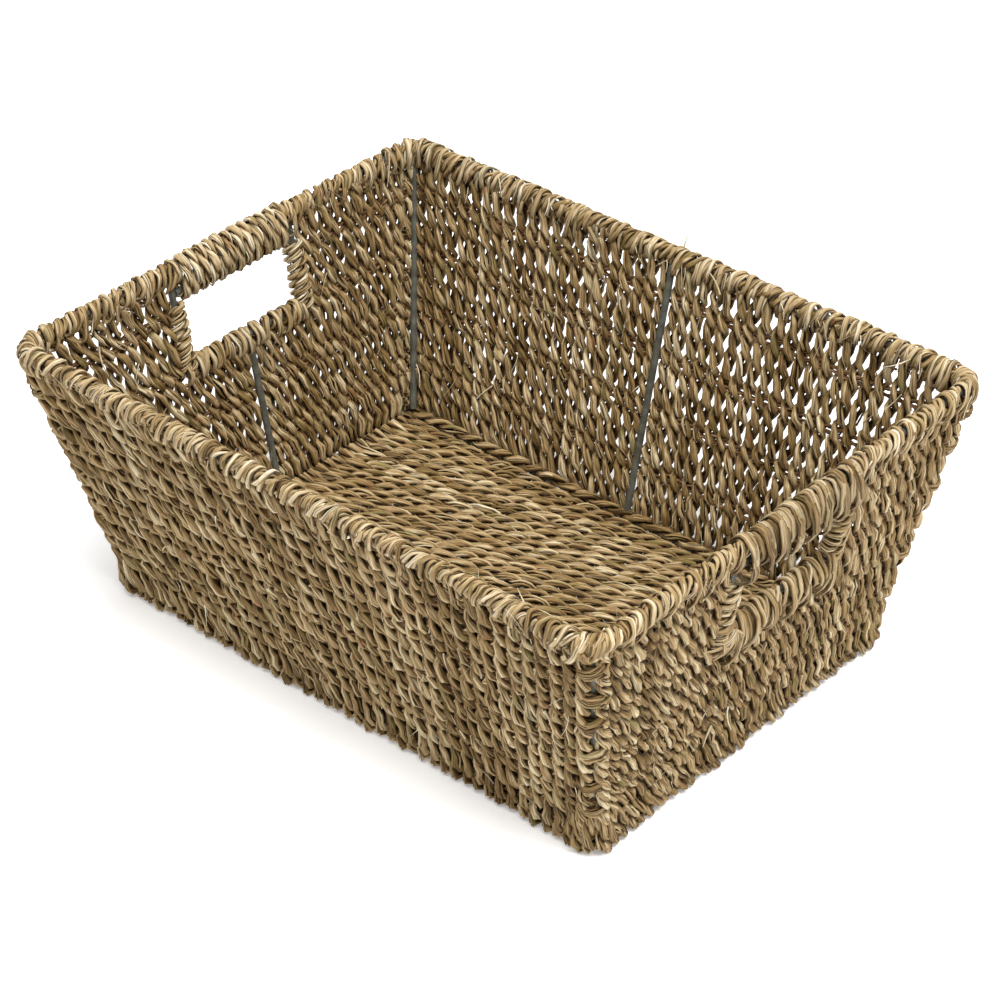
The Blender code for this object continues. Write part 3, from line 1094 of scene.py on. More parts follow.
def new_tree(name: str, sizes: dict[str, float]) -> bpy.types.NodeTree:
    """Start a Geometry Nodes tree with named inputs.

    Args:
        name: The tree's name.
        sizes: Its number inputs and their usual values.

    Returns:
        The tree, with its input and output nodes.
    """
    tree = bpy.data.node_groups.new(name, "GeometryNodeTree")
    tree.interface.new_socket("Geometry", in_out="INPUT", socket_type="NodeSocketGeometry")
    for label, value in sizes.items():
        socket = tree.interface.new_socket(label, in_out="INPUT", socket_type="NodeSocketFloat")
        socket.default_value = value
    tree.interface.new_socket("Seed", in_out="INPUT", socket_type="NodeSocketInt")
    tree.interface.new_socket("Material", in_out="INPUT", socket_type="NodeSocketMaterial")
    tree.interface.new_socket("Geometry", in_out="OUTPUT", socket_type="NodeSocketGeometry")
    tree.nodes.new("NodeGroupInput").name = "Group Input"
    tree.nodes.new("NodeGroupOutput").name = "Group Output"
    return tree


def finish_tree(tree: bpy.types.NodeTree, last: bpy.types.Node) -> None:
    """End a tree with smooth, real geometry and its material.

    Args:
        tree: The tree.
        last: The node whose geometry is kept.
    """
    given = tree.nodes["Group Input"].outputs
    smooth = add_node(tree, "GeometryNodeSetShadeSmooth", {"Geometry": last})
    real = add_node(tree, "GeometryNodeRealizeInstances", {"Geometry": smooth})
    dressed = add_node(
        tree, "GeometryNodeSetMaterial", {"Geometry": real, "Material": given["Material"]}
    )
    tree.links.new(dressed.outputs[0], tree.nodes["Group Output"].inputs["Geometry"])


def grow(
    name: str,
    lines: bpy.types.Mesh,
    tree: bpy.types.NodeTree,
    sizes: dict[str, float],
    material: bpy.types.Material,
    seed: int,
) -> bpy.types.Object:
    """Run a tree on centre lines and keep the result as a plain mesh.

    Args:
        name: The piece's name.
        lines: The centre lines.
        tree: The tree.
        sizes: Values for the tree's number inputs, where they aren't the usual ones.
        material: The piece's finish.
        seed: The seed for everything random in the tree.

    Returns:
        The piece.
    """
    holder = bpy.data.objects.new(name + "_lines", lines)
    bpy.context.scene.collection.objects.link(holder)
    modifier = holder.modifiers.new("grow", "NODES")
    modifier.node_group = tree
    values = {**sizes, "Seed": seed, "Material": material}
    for item in tree.interface.items_tree:
        if item.in_out == "INPUT" and item.name in values:
            modifier[item.identifier] = values[item.name]
    bpy.context.view_layer.update()
    grown = holder.evaluated_get(bpy.context.evaluated_depsgraph_get())
    mesh = bpy.data.meshes.new_from_object(grown)
    mesh.name = name
    bpy.data.objects.remove(holder)
    bpy.data.meshes.remove(lines)
    piece = bpy.data.objects.new(name, mesh)
    bpy.context.scene.collection.objects.link(piece)
    return piece


def place_piece(piece: bpy.types.Object, replaced: Sequence[str] = ()) -> None:
    """Hand a finished piece to the frame and report it.

    Args:
        piece: The piece.
        replaced: The plain solids it stands for.
    """
    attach(piece, BODY)
    if replaced:
        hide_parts(*replaced)
    piece.data.calc_loop_triangles()
    LOG.info("%s: %d triangles", piece.name, len(piece.data.loop_triangles))


# Where the walls stand


@dataclass(frozen=True)
class WallPlane:
    """The mid-plane of one wall, from the rim wire down to the base wire."""

    name: str
    turn: float
    rim_half: float
    rim_reach: float
    base_half: float
    base_reach: float
    rim_height: float
    base_height: float

    @property
    def lean(self) -> float:
        """Angle from upright."""
        return math.atan2(self.rim_reach - self.base_reach, self.rim_height - self.base_height)

    @property
    def slope_length(self) -> float:
        """Length down the slope from the rim wire to the base wire."""
        return (self.rim_height - self.base_height) / math.cos(self.lean)

    @property
    def matrix(self) -> Matrix:
        """From the wall's own frame to the basket's: X along, Y inwards, Z up the slope."""
        turn = Matrix.Rotation(math.radians(self.turn), 4, "Z")
        rim = Matrix.Translation((0, -self.rim_reach, self.rim_height))
        return turn @ rim @ Matrix.Rotation(self.lean, 4, "X")

    def half(self, depth: float) -> float:
        """Half the wall's length at a depth."""
        return self.rim_half + (self.base_half - self.rim_half) * depth / self.slope_length

    def at(self, x: float, depth: float, out: float = 0.0) -> Vector:
        """The basket's point for a place on the wall."""
        return self.matrix @ Vector((x, -out, -depth))

    def depth_of(self, height: float) -> float:
        """Depth on the mid-plane of a height above the floor."""
        return (self.rim_height - height) / math.cos(self.lean)

    @property
    def up(self) -> Vector:
        """Direction up the slope."""
        return (self.matrix.to_3x3() @ Vector((0, 0, 1))).normalized()

    @property
    def away(self) -> Vector:
        """Direction out of the basket."""
        return (self.matrix.to_3x3() @ Vector((0, -1, 0))).normalized()

    @property
    def ends(self) -> tuple[tuple[int, str], tuple[int, str]]:
        """A short wall's two ends in its own frame, with the names they go by."""
        return ((-1, "front"), (1, "back")) if self.name == "right" else ((-1, "back"), (1, "front"))


@dataclass(frozen=True)
class HandHole:
    """Where a hand hole's wires lie on its wall, with depths down the slope."""

    post_offset: float
    grip_depth: float
    sill_depth: float
    post_end: float
    wrap_half: float


@dataclass
class BasketPlan:
    """The sizes that everything is placed by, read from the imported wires."""

    wire_radius: float = 0.0
    walls: dict[str, WallPlane] = field(default_factory=dict)
    holes: dict[str, HandHole] = field(default_factory=dict)
    weft_heights: list[float] = field(default_factory=list)
    rim_corner: float = 0.012
    base_corner: float = 0.010

    @classmethod
    def read(cls) -> "BasketPlan":
        """Measure the rim ring, the base ring and the hand holes' wires.

        Returns:
            The plan.
        """
        rim_low, rim_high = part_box("rim_wire")
        base_low, base_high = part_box("base_wire")
        radius = (rim_high.z - rim_low.z) / 2
        rim = rim_high - Vector((radius, radius, radius))
        base = base_high - Vector((radius, radius, radius))
        plan = cls(wire_radius=radius)
        for name, turn, along, reach in (
            ("front", 0, 0, 1),
            ("right", 90, 1, 0),
            ("back", 180, 0, 1),
            ("left", 270, 1, 0),
        ):
            plan.walls[name] = WallPlane(
                name, turn, rim[along], rim[reach], base[along], base[reach], rim.z, base.z
            )
        for name in ("left", "right"):
            plan.holes[name] = plan.read_hole(plan.walls[name])
        for number in (1, 2, 3, 4):
            node = f"weft_cord_{number}" if plan.weft_goes_round(number) else f"weft_cord_{number}_front"
            low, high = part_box(node)
            plan.weft_heights.append((low.z + high.z) / 2)
        return plan

    def weft_goes_round(self, number: int) -> bool:
        """Whether a weft row is whole, or stops at the hand holes."""
        return f"weft_cord_{number}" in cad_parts

    def weft_depths(self, wall: WallPlane) -> list[float]:
        """Depths of the weft rows on a wall, from the rim down."""
        return [wall.depth_of(height) for height in reversed(self.weft_heights)]

    def read_hole(self, wall: WallPlane) -> HandHole:
        """Measure one hand hole.

        Args:
            wall: The wall that it is in.

        Returns:
            The hole's places on the wall.
        """

        def middle(node: str) -> Vector:
            """The middle of a node, in the wall's own frame."""
            low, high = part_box(node)
            return wall.matrix.inverted() @ ((low + high) / 2)

        post_low, post_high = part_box(f"{wall.name}_handle_post_front")
        post = middle(f"{wall.name}_handle_post_front")
        wrap_low, wrap_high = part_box(f"{wall.name}_grip_wrap")
        length = (post_high.z - post_low.z - 2 * self.wire_radius * math.sin(wall.lean)) / math.cos(wall.lean)
        return HandHole(
            post_offset=abs(post.x),
            grip_depth=-middle(f"{wall.name}_grip_wire").z,
            sill_depth=-middle(f"{wall.name}_sill_wire").z,
            post_end=-post.z + length / 2,
            wrap_half=(wrap_high.y - wrap_low.y) / 2,
        )


def jitter(place: Vector, size: float, channel: float = 0.0) -> float:
    """A smooth random number for a place, so that neighbours differ but nothing jumps.

    Args:
        place: Where.
        size: The greatest value either way.
        channel: Picks one of many unrelated patterns.

    Returns:
        The number.
    """
    return size * 1.6 * noise.noise(place + Vector((channel, 0.37 * channel, SEED)))


# The woven walls


@dataclass
class WovenWall:
    """One wall's upright cords, whose plies twine round the weft rows and turn under the base wire."""

    plane: WallPlane
    hole: HandHole | None
    count: int
    rows: list[float]
    girth: float = 1.17
    spread: float = 1.42
    cord_width: float = 0.0067
    upright_clearance: float = 0.0050
    notch_clearance: float = 0.0030
    pinch_share: float = 0.3
    merge_depth: float = 0.085
    ease: float = 0.35
    edge_run: float = 0.011
    edge_turns_back: float = 0.9  # half turns that are left to the turned edge
    edge_turns_step: float = 0.56
    corner_push: float = 0.0010

    @property
    def name(self) -> str:
        """The wall's name."""
        return self.plane.name

    @property
    def levels(self) -> list[float]:
        """Depths of the rim, the weft rows and the base, from the top."""
        return [0.0, *self.rows, self.plane.slope_length]

    def hangs_from_sill(self, index: int) -> bool:
        """Whether a column starts under the hand hole."""
        if self.hole is None:
            return False
        return abs(self.natural_x(index, self.hole.post_end)) < self.hole.wrap_half + 0.001

    def natural_x(self, index: int, depth: float) -> float:
        """Where a column would stand if all were spread evenly."""
        share = -1 + 2 * index / (self.count - 1)
        return share * (self.plane.half(depth) - COLUMN_END)

    def column_x(self, index: int, depth: float) -> float:
        """Where a column stands along the wall, before the wefts pinch it.

        Args:
            index: The column, from the wall's left end.
            depth: The depth down the slope.

        Returns:
            The distance along the wall.
        """
        x = self.natural_x(index, depth)
        if self.hole is None or self.hangs_from_sill(index):
            return x
        outer = sum(not self.hangs_from_sill(i) for i in range(self.count)) // 2
        rank = index if index < outer else self.count - 1 - index
        edge = self.hole.post_offset + 0.0048 + self.notch_clearance
        end = self.plane.half(depth) - COLUMN_END
        squeezed = math.copysign(end - (end - edge) * rank / (outer - 1), x)
        share = (depth - self.hole.post_end) / (self.merge_depth - self.hole.post_end)
        share = min(1.0, max(0.0, share))
        return squeezed + (x - squeezed) * share * share * (3 - 2 * share)

    def pinch(self, index: int, row: int, depth: float) -> float:
        """How far a weft row pulls a column towards its partner.

        Args:
            index: The column.
            row: The weft row, from the rim.
            depth: The row's depth.

        Returns:
            The shift along the wall.
        """
        sign = 1 if (index + row) % 2 == 0 else -1
        partner = index + sign
        if not 0 <= partner < self.count:
            return 0.0
        gap = abs(self.column_x(partner, depth) - self.column_x(index, depth))
        if gap > 3 * self.cord_width:
            return 0.0
        return sign * max(0.0, (gap - self.cord_width) / 2) * self.pinch_share

    def half_lay(self, x: float) -> float:
        """Length of half a turn of the plies: the cords beside the front right corner are twisted tighter."""
        corner = {"front": 1, "right": -1}.get(self.name, 0)
        if not corner:
            return HALF_LAY
        tight = max(0.0, 1 - (self.plane.rim_half - x * corner) / 0.075)
        return HALF_LAY + (TIGHT_HALF_LAY - HALF_LAY) * min(1.0, 1.7 * tight)

    def twists(self, index: int, rng: random.Random) -> list[int]:
        """How many half turns the plies make above each weft row, so that they pass either side of it.

        Args:
            index: The column.
            rng: Where its chances come from.

        Returns:
            The half turns made by each level.
        """
        levels = self.levels
        half_lay = self.half_lay(self.natural_x(index, 0.0))
        turns = [rng.randint(0, 1)]
        for above, below in zip(levels, levels[1:]):
            made = round((below - above) / (half_lay * rng.uniform(0.86, 1.18)))
            turns.append(turns[-1] + max(1, made))
        return turns

    def column(self, index: int, rng: random.Random) -> Line:
        """The centre line of one column, down to the base and round the base wire.

        Args:
            index: The column, from the wall's left end.
            rng: Where its chances come from.

        Returns:
            The line, from the top down.
        """
        plane = self.plane
        line = Line(tone=rng.uniform(0.34, 0.60))
        top = self.hole.sill_depth + 0.001 if self.hangs_from_sill(index) else 0.001
        bottom = plane.slope_length - self.edge_run
        levels = self.levels
        turns = self.twists(index, rng)
        phase = rng.uniform(-0.35, 0.35)
        away = plane.away
        steps = round((bottom - top) / LINE_STEP)
        for i in range(steps + 1):
            depth = top + (bottom - top) * i / steps
            row = max(r for r in range(len(levels) - 1) if levels[r] <= depth + 1e-9)
            share = (depth - levels[row]) / (levels[row + 1] - levels[row])
            ease = 0.5 - 0.5 * math.cos(math.pi * share)
            above = self.pinch(index, row, levels[row])
            below = self.pinch(index, row + 1, levels[row + 1])
            x = self.column_x(index, depth) + above + (below - above) * ease
            spot = Vector((x, depth, plane.turn)) * 55
            x += jitter(spot, 0.0009, index * 3.7)
            out = self.push_out(index) + jitter(spot, 0.0007, 90 + index * 2.9)
            x, out = self.clear_upright(index, x, out)
            wave = share + self.ease * math.sin(math.tau * share) / math.tau
            made = turns[row] + (turns[row + 1] - turns[row]) * wave
            angle = PLY_TURN * math.pi * made + phase + jitter(spot, 0.4, 400 + index)
            girth = self.girth + jitter(spot, 0.12, 200 + index)
            line.add(plane.at(x, depth, out), away, angle, girth, self.spread)
        self.turn_under(line, index, turns, phase)
        return line

    def push_out(self, index: int) -> float:
        """How far out a column stands: the ones next to a corner clear its upright."""
        place = min(index, self.count - 1 - index)
        return self.corner_push * max(0.0, 1 - place / 2)

    def turn_under(self, line: Line, index: int, turns: list[int], phase: float) -> None:
        """Carry a column round the outside of the base wire and flat beneath it.

        Args:
            line: The column's line so far.
            index: The column.
            turns: Half turns made by each level.
            phase: The column's own angle.
        """
        plane = self.plane
        end = plane.slope_length
        x = self.column_x(index, end) + self.pinch(index, len(self.levels) - 1, end)
        drop = plane.base_height
        # How far out, how deep and how thick, from above the base wire to beneath it
        tuck = random.Random(SEED + index * 7 + int(plane.turn))
        bulge = tuck.uniform(-0.0012, 0.0006)
        x += tuck.uniform(-0.0010, 0.0010)
        route = (
            (0.0016 + bulge, end - 0.0060, 1.14),
            (0.0031 + bulge, end - 0.0016, 1.22),
            (0.0031 + bulge, end + drop * 0.30, 1.20),
            (0.0004 + bulge, end + drop * 0.54, 0.92),
            (-0.0042, end + drop * 0.62, 0.55),
            (-0.0110, end + drop * 0.62, 0.42),
        )
        made = turns[-1] - self.edge_turns_back
        for out, depth, girth in route:
            angle = PLY_TURN * math.pi * made + phase
            line.add(plane.at(x, depth, out), plane.away, angle, girth, self.spread)
            made += self.edge_turns_step

    def clear_upright(self, index: int, x: float, out: float) -> tuple[float, float]:
        """Move the two middle columns off the upright between them.

        Args:
            index: The column.
            x: Where it would stand along the wall.
            out: How far it would stand out.

        Returns:
            The corrected x and out.
        """
        half = self.count // 2
        if index not in (half - 1, half):
            return x, out
        side = -1 if index < half else 1
        return side * max(side * x, self.upright_clearance), max(out, 0.0010)

    def build(self, tree: CordTree, material: bpy.types.Material) -> None:
        """Make the wall's cords."""
        rng = random.Random(SEED + int(self.plane.turn))
        columns = [self.column(index, rng) for index in range(self.count)]
        half = self.count // 2
        ends = {"front": ("left", "right"), "right": ("front", "back")}
        ends |= {"back": ("right", "left"), "left": ("back", "front")}
        for end, part in zip(ends[self.name], (columns[:half], columns[half:])):
            name = f"{self.name}_wall_cords_{end}"
            piece = grow(name, lines_to_mesh(name, part), tree.tree, {}, material, SEED + len(name))
            place_piece(piece, [f"{self.name}_wall_weave", f"{self.name}_base_edge"])


# The woven base


@dataclass
class WovenBase:
    """The base's rows of cord, which run the long way and twine round the cross wires."""

    plan: BasketPlan
    count: int = SHORT_WALL_COLUMNS
    wander: float = 0.0008
    girth: float = 1.12
    spread: float = 1.15
    rise: float = 0.0006
    half_lay: float = 0.0118
    side_gap: float = 0.0014
    lift: float = 0.0032
    climb_run: float = 0.012
    cross_wires: tuple[str, ...] = ("left", "middle", "right")

    def row(self, index: int, rng: random.Random) -> Line:
        """The centre line of one row.

        Args:
            index: The row, from the front.
            rng: Where its chances come from.

        Returns:
            The line, from left to right.
        """
        walls = self.plan.walls
        low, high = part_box("base_weave")
        share = -1 + 2 * index / (self.count - 1)
        y = share * (walls["front"].base_reach - self.side_gap)
        reach = walls["left"].base_reach - self.side_gap
        beside = self.lift if index in (0, self.count - 1) else 0.0
        height = (low.z + high.z) / 2 + self.rise
        wires = [sum(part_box(f"base_cross_wire_{name}"), Vector()).x / 2 for name in self.cross_wires]
        levels = [-reach, *wires, reach]
        turns = [rng.randint(0, 1)]
        for start, stop in zip(levels, levels[1:]):
            turns.append(turns[-1] + round((stop - start) / (self.half_lay * rng.uniform(0.85, 1.2))))
        line = Line(tone=rng.uniform(0.36, 0.62))
        steps = round(2 * reach / LINE_STEP)
        for i in range(steps + 1):
            x = -reach + 2 * reach * i / steps
            part = max(r for r in range(len(levels) - 1) if levels[r] <= x + 1e-9)
            along = (x - levels[part]) / (levels[part + 1] - levels[part])
            made = turns[part] + (turns[part + 1] - turns[part]) * along
            spot = Vector((x, y, 3.0)) * 45
            climb = max(0.0, 1 - (reach - abs(x)) / self.climb_run)
            raised = max(beside, self.lift * climb * climb) + jitter(spot, 0.0005, 50)
            shift = Vector((0, jitter(spot, self.wander, index * 0.31), raised))
            angle = PLY_TURN * math.pi * made + jitter(spot, 0.5, 500 + index)
            girth = self.girth + jitter(spot, 0.10, 300 + index)
            line.add(Vector((x, y, height)) + shift, Vector((0, 0, 1)), angle, girth, self.spread)
        return line

    def build(self, tree: CordTree, material: bpy.types.Material) -> None:
        """Make the base's cords, as a front half and a back half."""
        rng = random.Random(SEED + 5)
        rows = [self.row(index, rng) for index in range(self.count)]
        half = self.count // 2
        for name, part in (("base_cords_front", rows[:half]), ("base_cords_back", rows[half:])):
            mesh = lines_to_mesh(name, part)
            piece = grow(name, mesh, tree.tree, {"Dwell": 0.06}, material, SEED + len(name))
            place_piece(piece, ["base_weave"])


# Wound blades


@dataclass
class Windings:
    """The blades wound round the rim, the right grip and the sills."""

    plan: BasketPlan
    tree: WindingTree
    material: bpy.types.Material
    corner_reach: float = 1.25  # round each corner, a little past half way so that the lengths overlap

    def ring_rail(self, wall: WallPlane, half: float, reach: float, height: float, corner: float) -> Rail:
        """A rail along one side of a ring, from half way round one corner to the next.

        Args:
            wall: The wall it belongs to.
            half: Half the ring's length along the wall.
            reach: The ring's distance from the middle of the basket.
            height: The ring's height.
            corner: The ring's corner radius.

        Returns:
            The rail, from the wall's left end to its right.
        """
        turn = Matrix.Rotation(math.radians(wall.turn), 4, "Z")
        points = []
        for sign in (-1, 1):
            centre = Vector((sign * (half - corner), corner - reach, height))
            bend = []
            for step in range(5):
                angle = self.corner_reach * step / 4
                bend.append(centre + Vector((sign * math.sin(angle), -math.cos(angle), 0)) * corner)
            points += bend[::-1] if sign < 0 else bend
        straight = [points[4].lerp(points[5], i / 30) for i in range(1, 30)]
        points = points[:5] + straight + points[5:]
        return Rail([turn @ point for point in points], [wall.up for _ in points])

    def wind(self, name: str, rail: Rail, sizes: dict[str, float], replaced: str) -> None:
        """Wind blades round a rail and hand the piece over."""
        seed = SEED + sum(map(ord, name))
        piece = grow(name, rail_to_mesh(name, rail), self.tree.tree, sizes, self.material, seed)
        place_piece(piece, [replaced])

    def build_rim(self) -> None:
        """Wind the rim: all round on the long walls, and beside the grips on the short ones."""
        for name, wall in self.plan.walls.items():
            rail = self.ring_rail(wall, wall.rim_half, wall.rim_reach, wall.rim_height, self.plan.rim_corner)
            if name not in self.plan.holes:
                self.wind(f"{name}_rim_blades", rail, {}, f"{name}_rim_binding")
                continue
            inverse = wall.matrix.inverted()
            edge = self.plan.holes[name].post_offset - 0.005
            for sign, end in wall.ends:
                kept = [p for p in rail.points if (inverse @ p).x * sign > edge]
                first = wall.at(sign * edge, 0)
                kept = [*kept, first] if sign < 0 else [first, *kept]
                part = Rail(kept, [wall.up for _ in kept])
                self.wind(f"{name}_rim_blades_{end}", part, {}, f"{name}_rim_binding_{end}")

    def straight_rail(self, wall: WallPlane, half: float, depth: float) -> Rail:
        """A straight rail along a wall at a depth."""
        points = [wall.at(half * (i / 6 - 1), depth) for i in range(13)]
        return Rail(points, [wall.up for _ in points])

    def build_hand_holes(self) -> None:
        """Wind the right hand hole's grip with broad blades that hang loose, and both sills."""
        hole = self.plan.holes["right"]
        grip = {
            "Spacing": 0.0023,
            "Radius": 0.0052,
            "Drop": hole.grip_depth - 0.001,
            "Tail": 0.006,
            "Belly": 0.0052,
            "Squareness": 0.4,
            "Blade width": 0.0052,
            "Blade thickness": 0.0014,
            "Slant": 0.008,
            "Bundle": 5.0,
            "Swell": 0.21,
            "Gather": 0.95,
            "Tilt": 0.20,
        }
        wall = self.plan.walls["right"]
        rail = self.straight_rail(wall, hole.wrap_half, 0.0)
        self.wind("right_grip_blades", rail, grip, "right_grip_wrap")
        for name, belly, tail in (("left", 0.0, 0.004), ("right", 0.0045, 0.021)):
            sill = {
                "Spacing": 0.0024,
                "Radius": 0.0046,
                "Drop": 0.002,
                "Tail": tail,
                "Belly": belly,
                "Blade width": 0.0034,
                "Blade thickness": 0.0015,
                "Slant": -0.009,
                "Bundle": 3.0,
            }
            rail = self.straight_rail(self.plan.walls[name], hole.wrap_half + 0.002, hole.sill_depth)
            self.wind(f"{name}_sill_blades", rail, sill, f"{name}_sill_wrap")


# Wound cords


@dataclass
class WoundCords:
    """Twisted cord wound round the left grip, the posts and the corners."""

    plan: BasketPlan
    tree: CordTree
    material: bpy.types.Material
    turn_points: int = 14
    band_arc: float = 236.0  # degrees of the upright that a corner band covers

    def hand_over(self, name: str, lines: list[Line], sizes: dict[str, float], replaced: list[str]) -> None:
        """Twist a cord's plies and hand the piece over."""
        mesh = lines_to_mesh(name, lines)
        seed = SEED + sum(map(ord, name))
        piece = grow(name, mesh, self.tree.tree, sizes, self.material, seed)
        place_piece(piece, replaced)

    def build_grip(self, name: str, pitch: float = 0.0066, girth: float = 0.98) -> None:
        """Wind a grip: one cord in slanting turns round the rim wire and the grip wire.

        Args:
            name: The wall.
            pitch: Distance from turn to turn.
            girth: The cord's size against its usual one.
        """
        wall = self.plan.walls[name]
        hole = self.plan.holes[name]
        rng = random.Random(SEED + 40)
        reach = self.plan.wire_radius + CORD_HALF * girth * 0.8
        middle = hole.grip_depth / 2 - 0.0004
        tall = hole.grip_depth / 2 + reach - 0.0008
        turns = int(2 * hole.wrap_half / pitch)
        line = Line(tone=0.56)
        travelled = 0.0
        for i in range(turns * self.turn_points + 1):
            turn = math.tau * i / self.turn_points
            x = -hole.wrap_half + pitch * (0.4 + i / self.turn_points)
            flat = 1.35 - 0.35 * abs(math.sin(turn))
            out = reach * flat * math.cos(turn)
            depth = middle - tall * math.sin(turn)
            point = wall.at(x + rng.uniform(-0.0003, 0.0003), depth, out)
            if line.points:
                travelled += (point - line.points[-1]).length
            side = (wall.away * math.cos(turn) + wall.up * math.sin(turn)).normalized()
            line.add(point, side, -math.pi * travelled / 0.0105, girth * rng.uniform(0.92, 1.08))
        self.hand_over(f"{name}_grip_cord", [line], {"Step": 0.0026}, [f"{name}_grip_wrap"])

    def build_posts(self, radius: float = 0.0040, rise: float = 0.0050, girth: float = 0.80) -> None:
        """Coil the four posts.

        Args:
            radius: From the post's middle to the cord's.
            rise: Distance from turn to turn.
            girth: The cord's size against its usual one.
        """
        for name, hole in self.plan.holes.items():
            wall = self.plan.walls[name]
            for sign, end in wall.ends:
                rng = random.Random(SEED + len(name) * 10 + sign)
                line = Line(tone=0.56)
                top = hole.grip_depth + 0.0050
                bottom = hole.sill_depth + 0.002
                steps = round((bottom - top) / rise * self.turn_points)
                start = rng.uniform(0, math.tau)
                for i in range(steps + 1):
                    turn = math.tau * i / self.turn_points + start
                    wide = radius * rng.uniform(0.92, 1.10)
                    x = sign * hole.post_offset + wide * math.cos(turn)
                    depth = top + (bottom - top) * i / steps + 0.0012 * math.sin(turn)
                    side = wall.matrix.to_3x3() @ Vector((math.cos(turn), -math.sin(turn), 0))
                    point = wall.at(x, depth, wide * math.sin(turn))
                    line.add(point, side, -0.62 * i, girth * rng.uniform(0.9, 1.1))
                piece = f"{name}_post_coil_{end}"
                self.hand_over(piece, [line], {"Step": 0.0020}, [f"{name}_post_wrap_{end}"])

    def build_corners(self, radius: float = 0.0046, rise: float = 0.0042, girth: float = 0.78) -> None:
        """Lay short bands of cord outside each corner upright, with the wire left bare between them.

        Args:
            radius: From the upright's middle to the cord's.
            rise: Distance from turn to turn.
            girth: The cord's size against its usual one.
        """
        for x_sign, side_name in ((-1, "left"), (1, "right")):
            for y_sign, end_name in ((-1, "front"), (1, "back")):
                node = f"corner_upright_{end_name}_{side_name}"
                rng = random.Random(SEED + sum(map(ord, node)))
                low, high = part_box(node)
                foot = Vector((min(abs(low.x), abs(high.x)), min(abs(low.y), abs(high.y)), low.z))
                head = Vector((max(abs(low.x), abs(high.x)), max(abs(low.y), abs(high.y)), high.z))
                inset = Vector((self.plan.wire_radius, self.plan.wire_radius, 0))
                signs = Vector((x_sign, y_sign, 1))
                foot = (foot + inset) * signs
                head = (head - inset) * signs
                length = (head - foot).length
                lines = []
                reach = 0.0
                while reach < length - 0.012:
                    turns = rng.choice((1.0, 1.3, 1.9))
                    place = reach / length
                    lines.append(self.corner_coil(foot, head, place, turns, radius, rise, girth, rng))
                    reach += turns * rise + rng.uniform(0.012, 0.022)
                lines += self.corner_loops(signs)
                self.hand_over(f"corner_coils_{end_name}_{side_name}", lines, {"Step": 0.0021}, [])

    def corner_loops(self, signs: Vector) -> list[Line]:
        """Short cords that cross the base wire's corner and turn under it.

        Args:
            signs: Which corner, as the signs of its x and y.

        Returns:
            The cords' lines.
        """
        low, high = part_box("base_wire")
        corner = self.plan.base_corner
        middle = Vector((high.x - corner, high.y - corner, 0))
        long_wall = self.plan.walls["front"]
        short_wall = self.plan.walls["right"]
        # How far outside the walls' corner, how high and how thick
        route = (
            (-0.0015, 0.034, 0.80),
            (0.0016, 0.025, 0.95),
            (0.0036, 0.013, 1.10),
            (0.0050, 0.0066, 1.16),
            (0.0042, 0.0040, 1.06),
            (-0.0030, 0.0026, 0.60),
            (-0.0100, 0.0024, 0.42),
        )
        lines = []
        for share in (-0.8, -0.27, 0.27, 0.8):
            angle = math.pi / 4 * (1 + share)
            spoke = Vector((math.cos(angle), math.sin(angle), 0))
            line = Line(tone=0.48)
            for step, (stand_off, height, girth) in enumerate(route):
                rise = height - short_wall.base_height
                wide = short_wall.base_reach + rise * math.tan(short_wall.lean) - middle.x
                deep = long_wall.base_reach + rise * math.tan(long_wall.lean) - middle.y
                reach = ((spoke.x / wide) ** 4 + (spoke.y / deep) ** 4) ** -0.25
                point = middle + spoke * (reach + stand_off) + Vector((0, 0, height))
                point = Vector((point.x * signs.x, point.y * signs.y, point.z))
                away = Vector((spoke.x * signs.x, spoke.y * signs.y, 0))
                line.add(point, away, -1.7 * step + 3 * share, girth * 0.95)
            lines.append(line)
        return lines

    def corner_coil(
        self,
        foot: Vector,
        head: Vector,
        start: float,
        turns: float,
        radius: float,
        rise: float,
        girth: float,
        rng: random.Random,
    ) -> Line:
        """One short band of cord, which passes to and fro outside a corner upright.

        Args:
            foot: The upright's lower end.
            head: The upright's upper end.
            start: Where the band starts, as a share of the upright.
            turns: How tall the band is, in turns.
            radius: From the upright's middle to the cord's.
            rise: Distance from turn to turn.
            girth: The cord's size against its usual one.
            rng: Where its chances come from.

        Returns:
            The band's line.
        """
        axis = (head - foot).normalized()
        outward = Vector((math.copysign(1, head.x), math.copysign(1, head.y), 0)).normalized()
        second = axis.cross(outward).normalized()
        first = second.cross(axis)
        line = Line(tone=rng.uniform(0.22, 0.44))
        passes = max(2, round(turns * 1.3))
        points = 9
        tilt = rng.uniform(-0.006, 0.006)
        for number in range(passes):
            way = 1 if number % 2 else -1
            for i in range(points):
                share = i / (points - 1)
                turn = way * math.radians(self.band_arc) * (share - 0.5)
                side = first * math.cos(turn) + second * math.sin(turn)
                wide = radius * rng.uniform(0.92, 1.08) * (1 + 0.25 * abs(math.sin(turn)))
                climb = rise * (number + 0.5 * share) * 0.8 + tilt * (share - 0.5) * way
                point = foot.lerp(head, start) + axis * (climb + 0.003) + side * wide
                line.add(point, side, -0.55 * (points * number + i), girth * rng.uniform(0.88, 1.12))
        return line


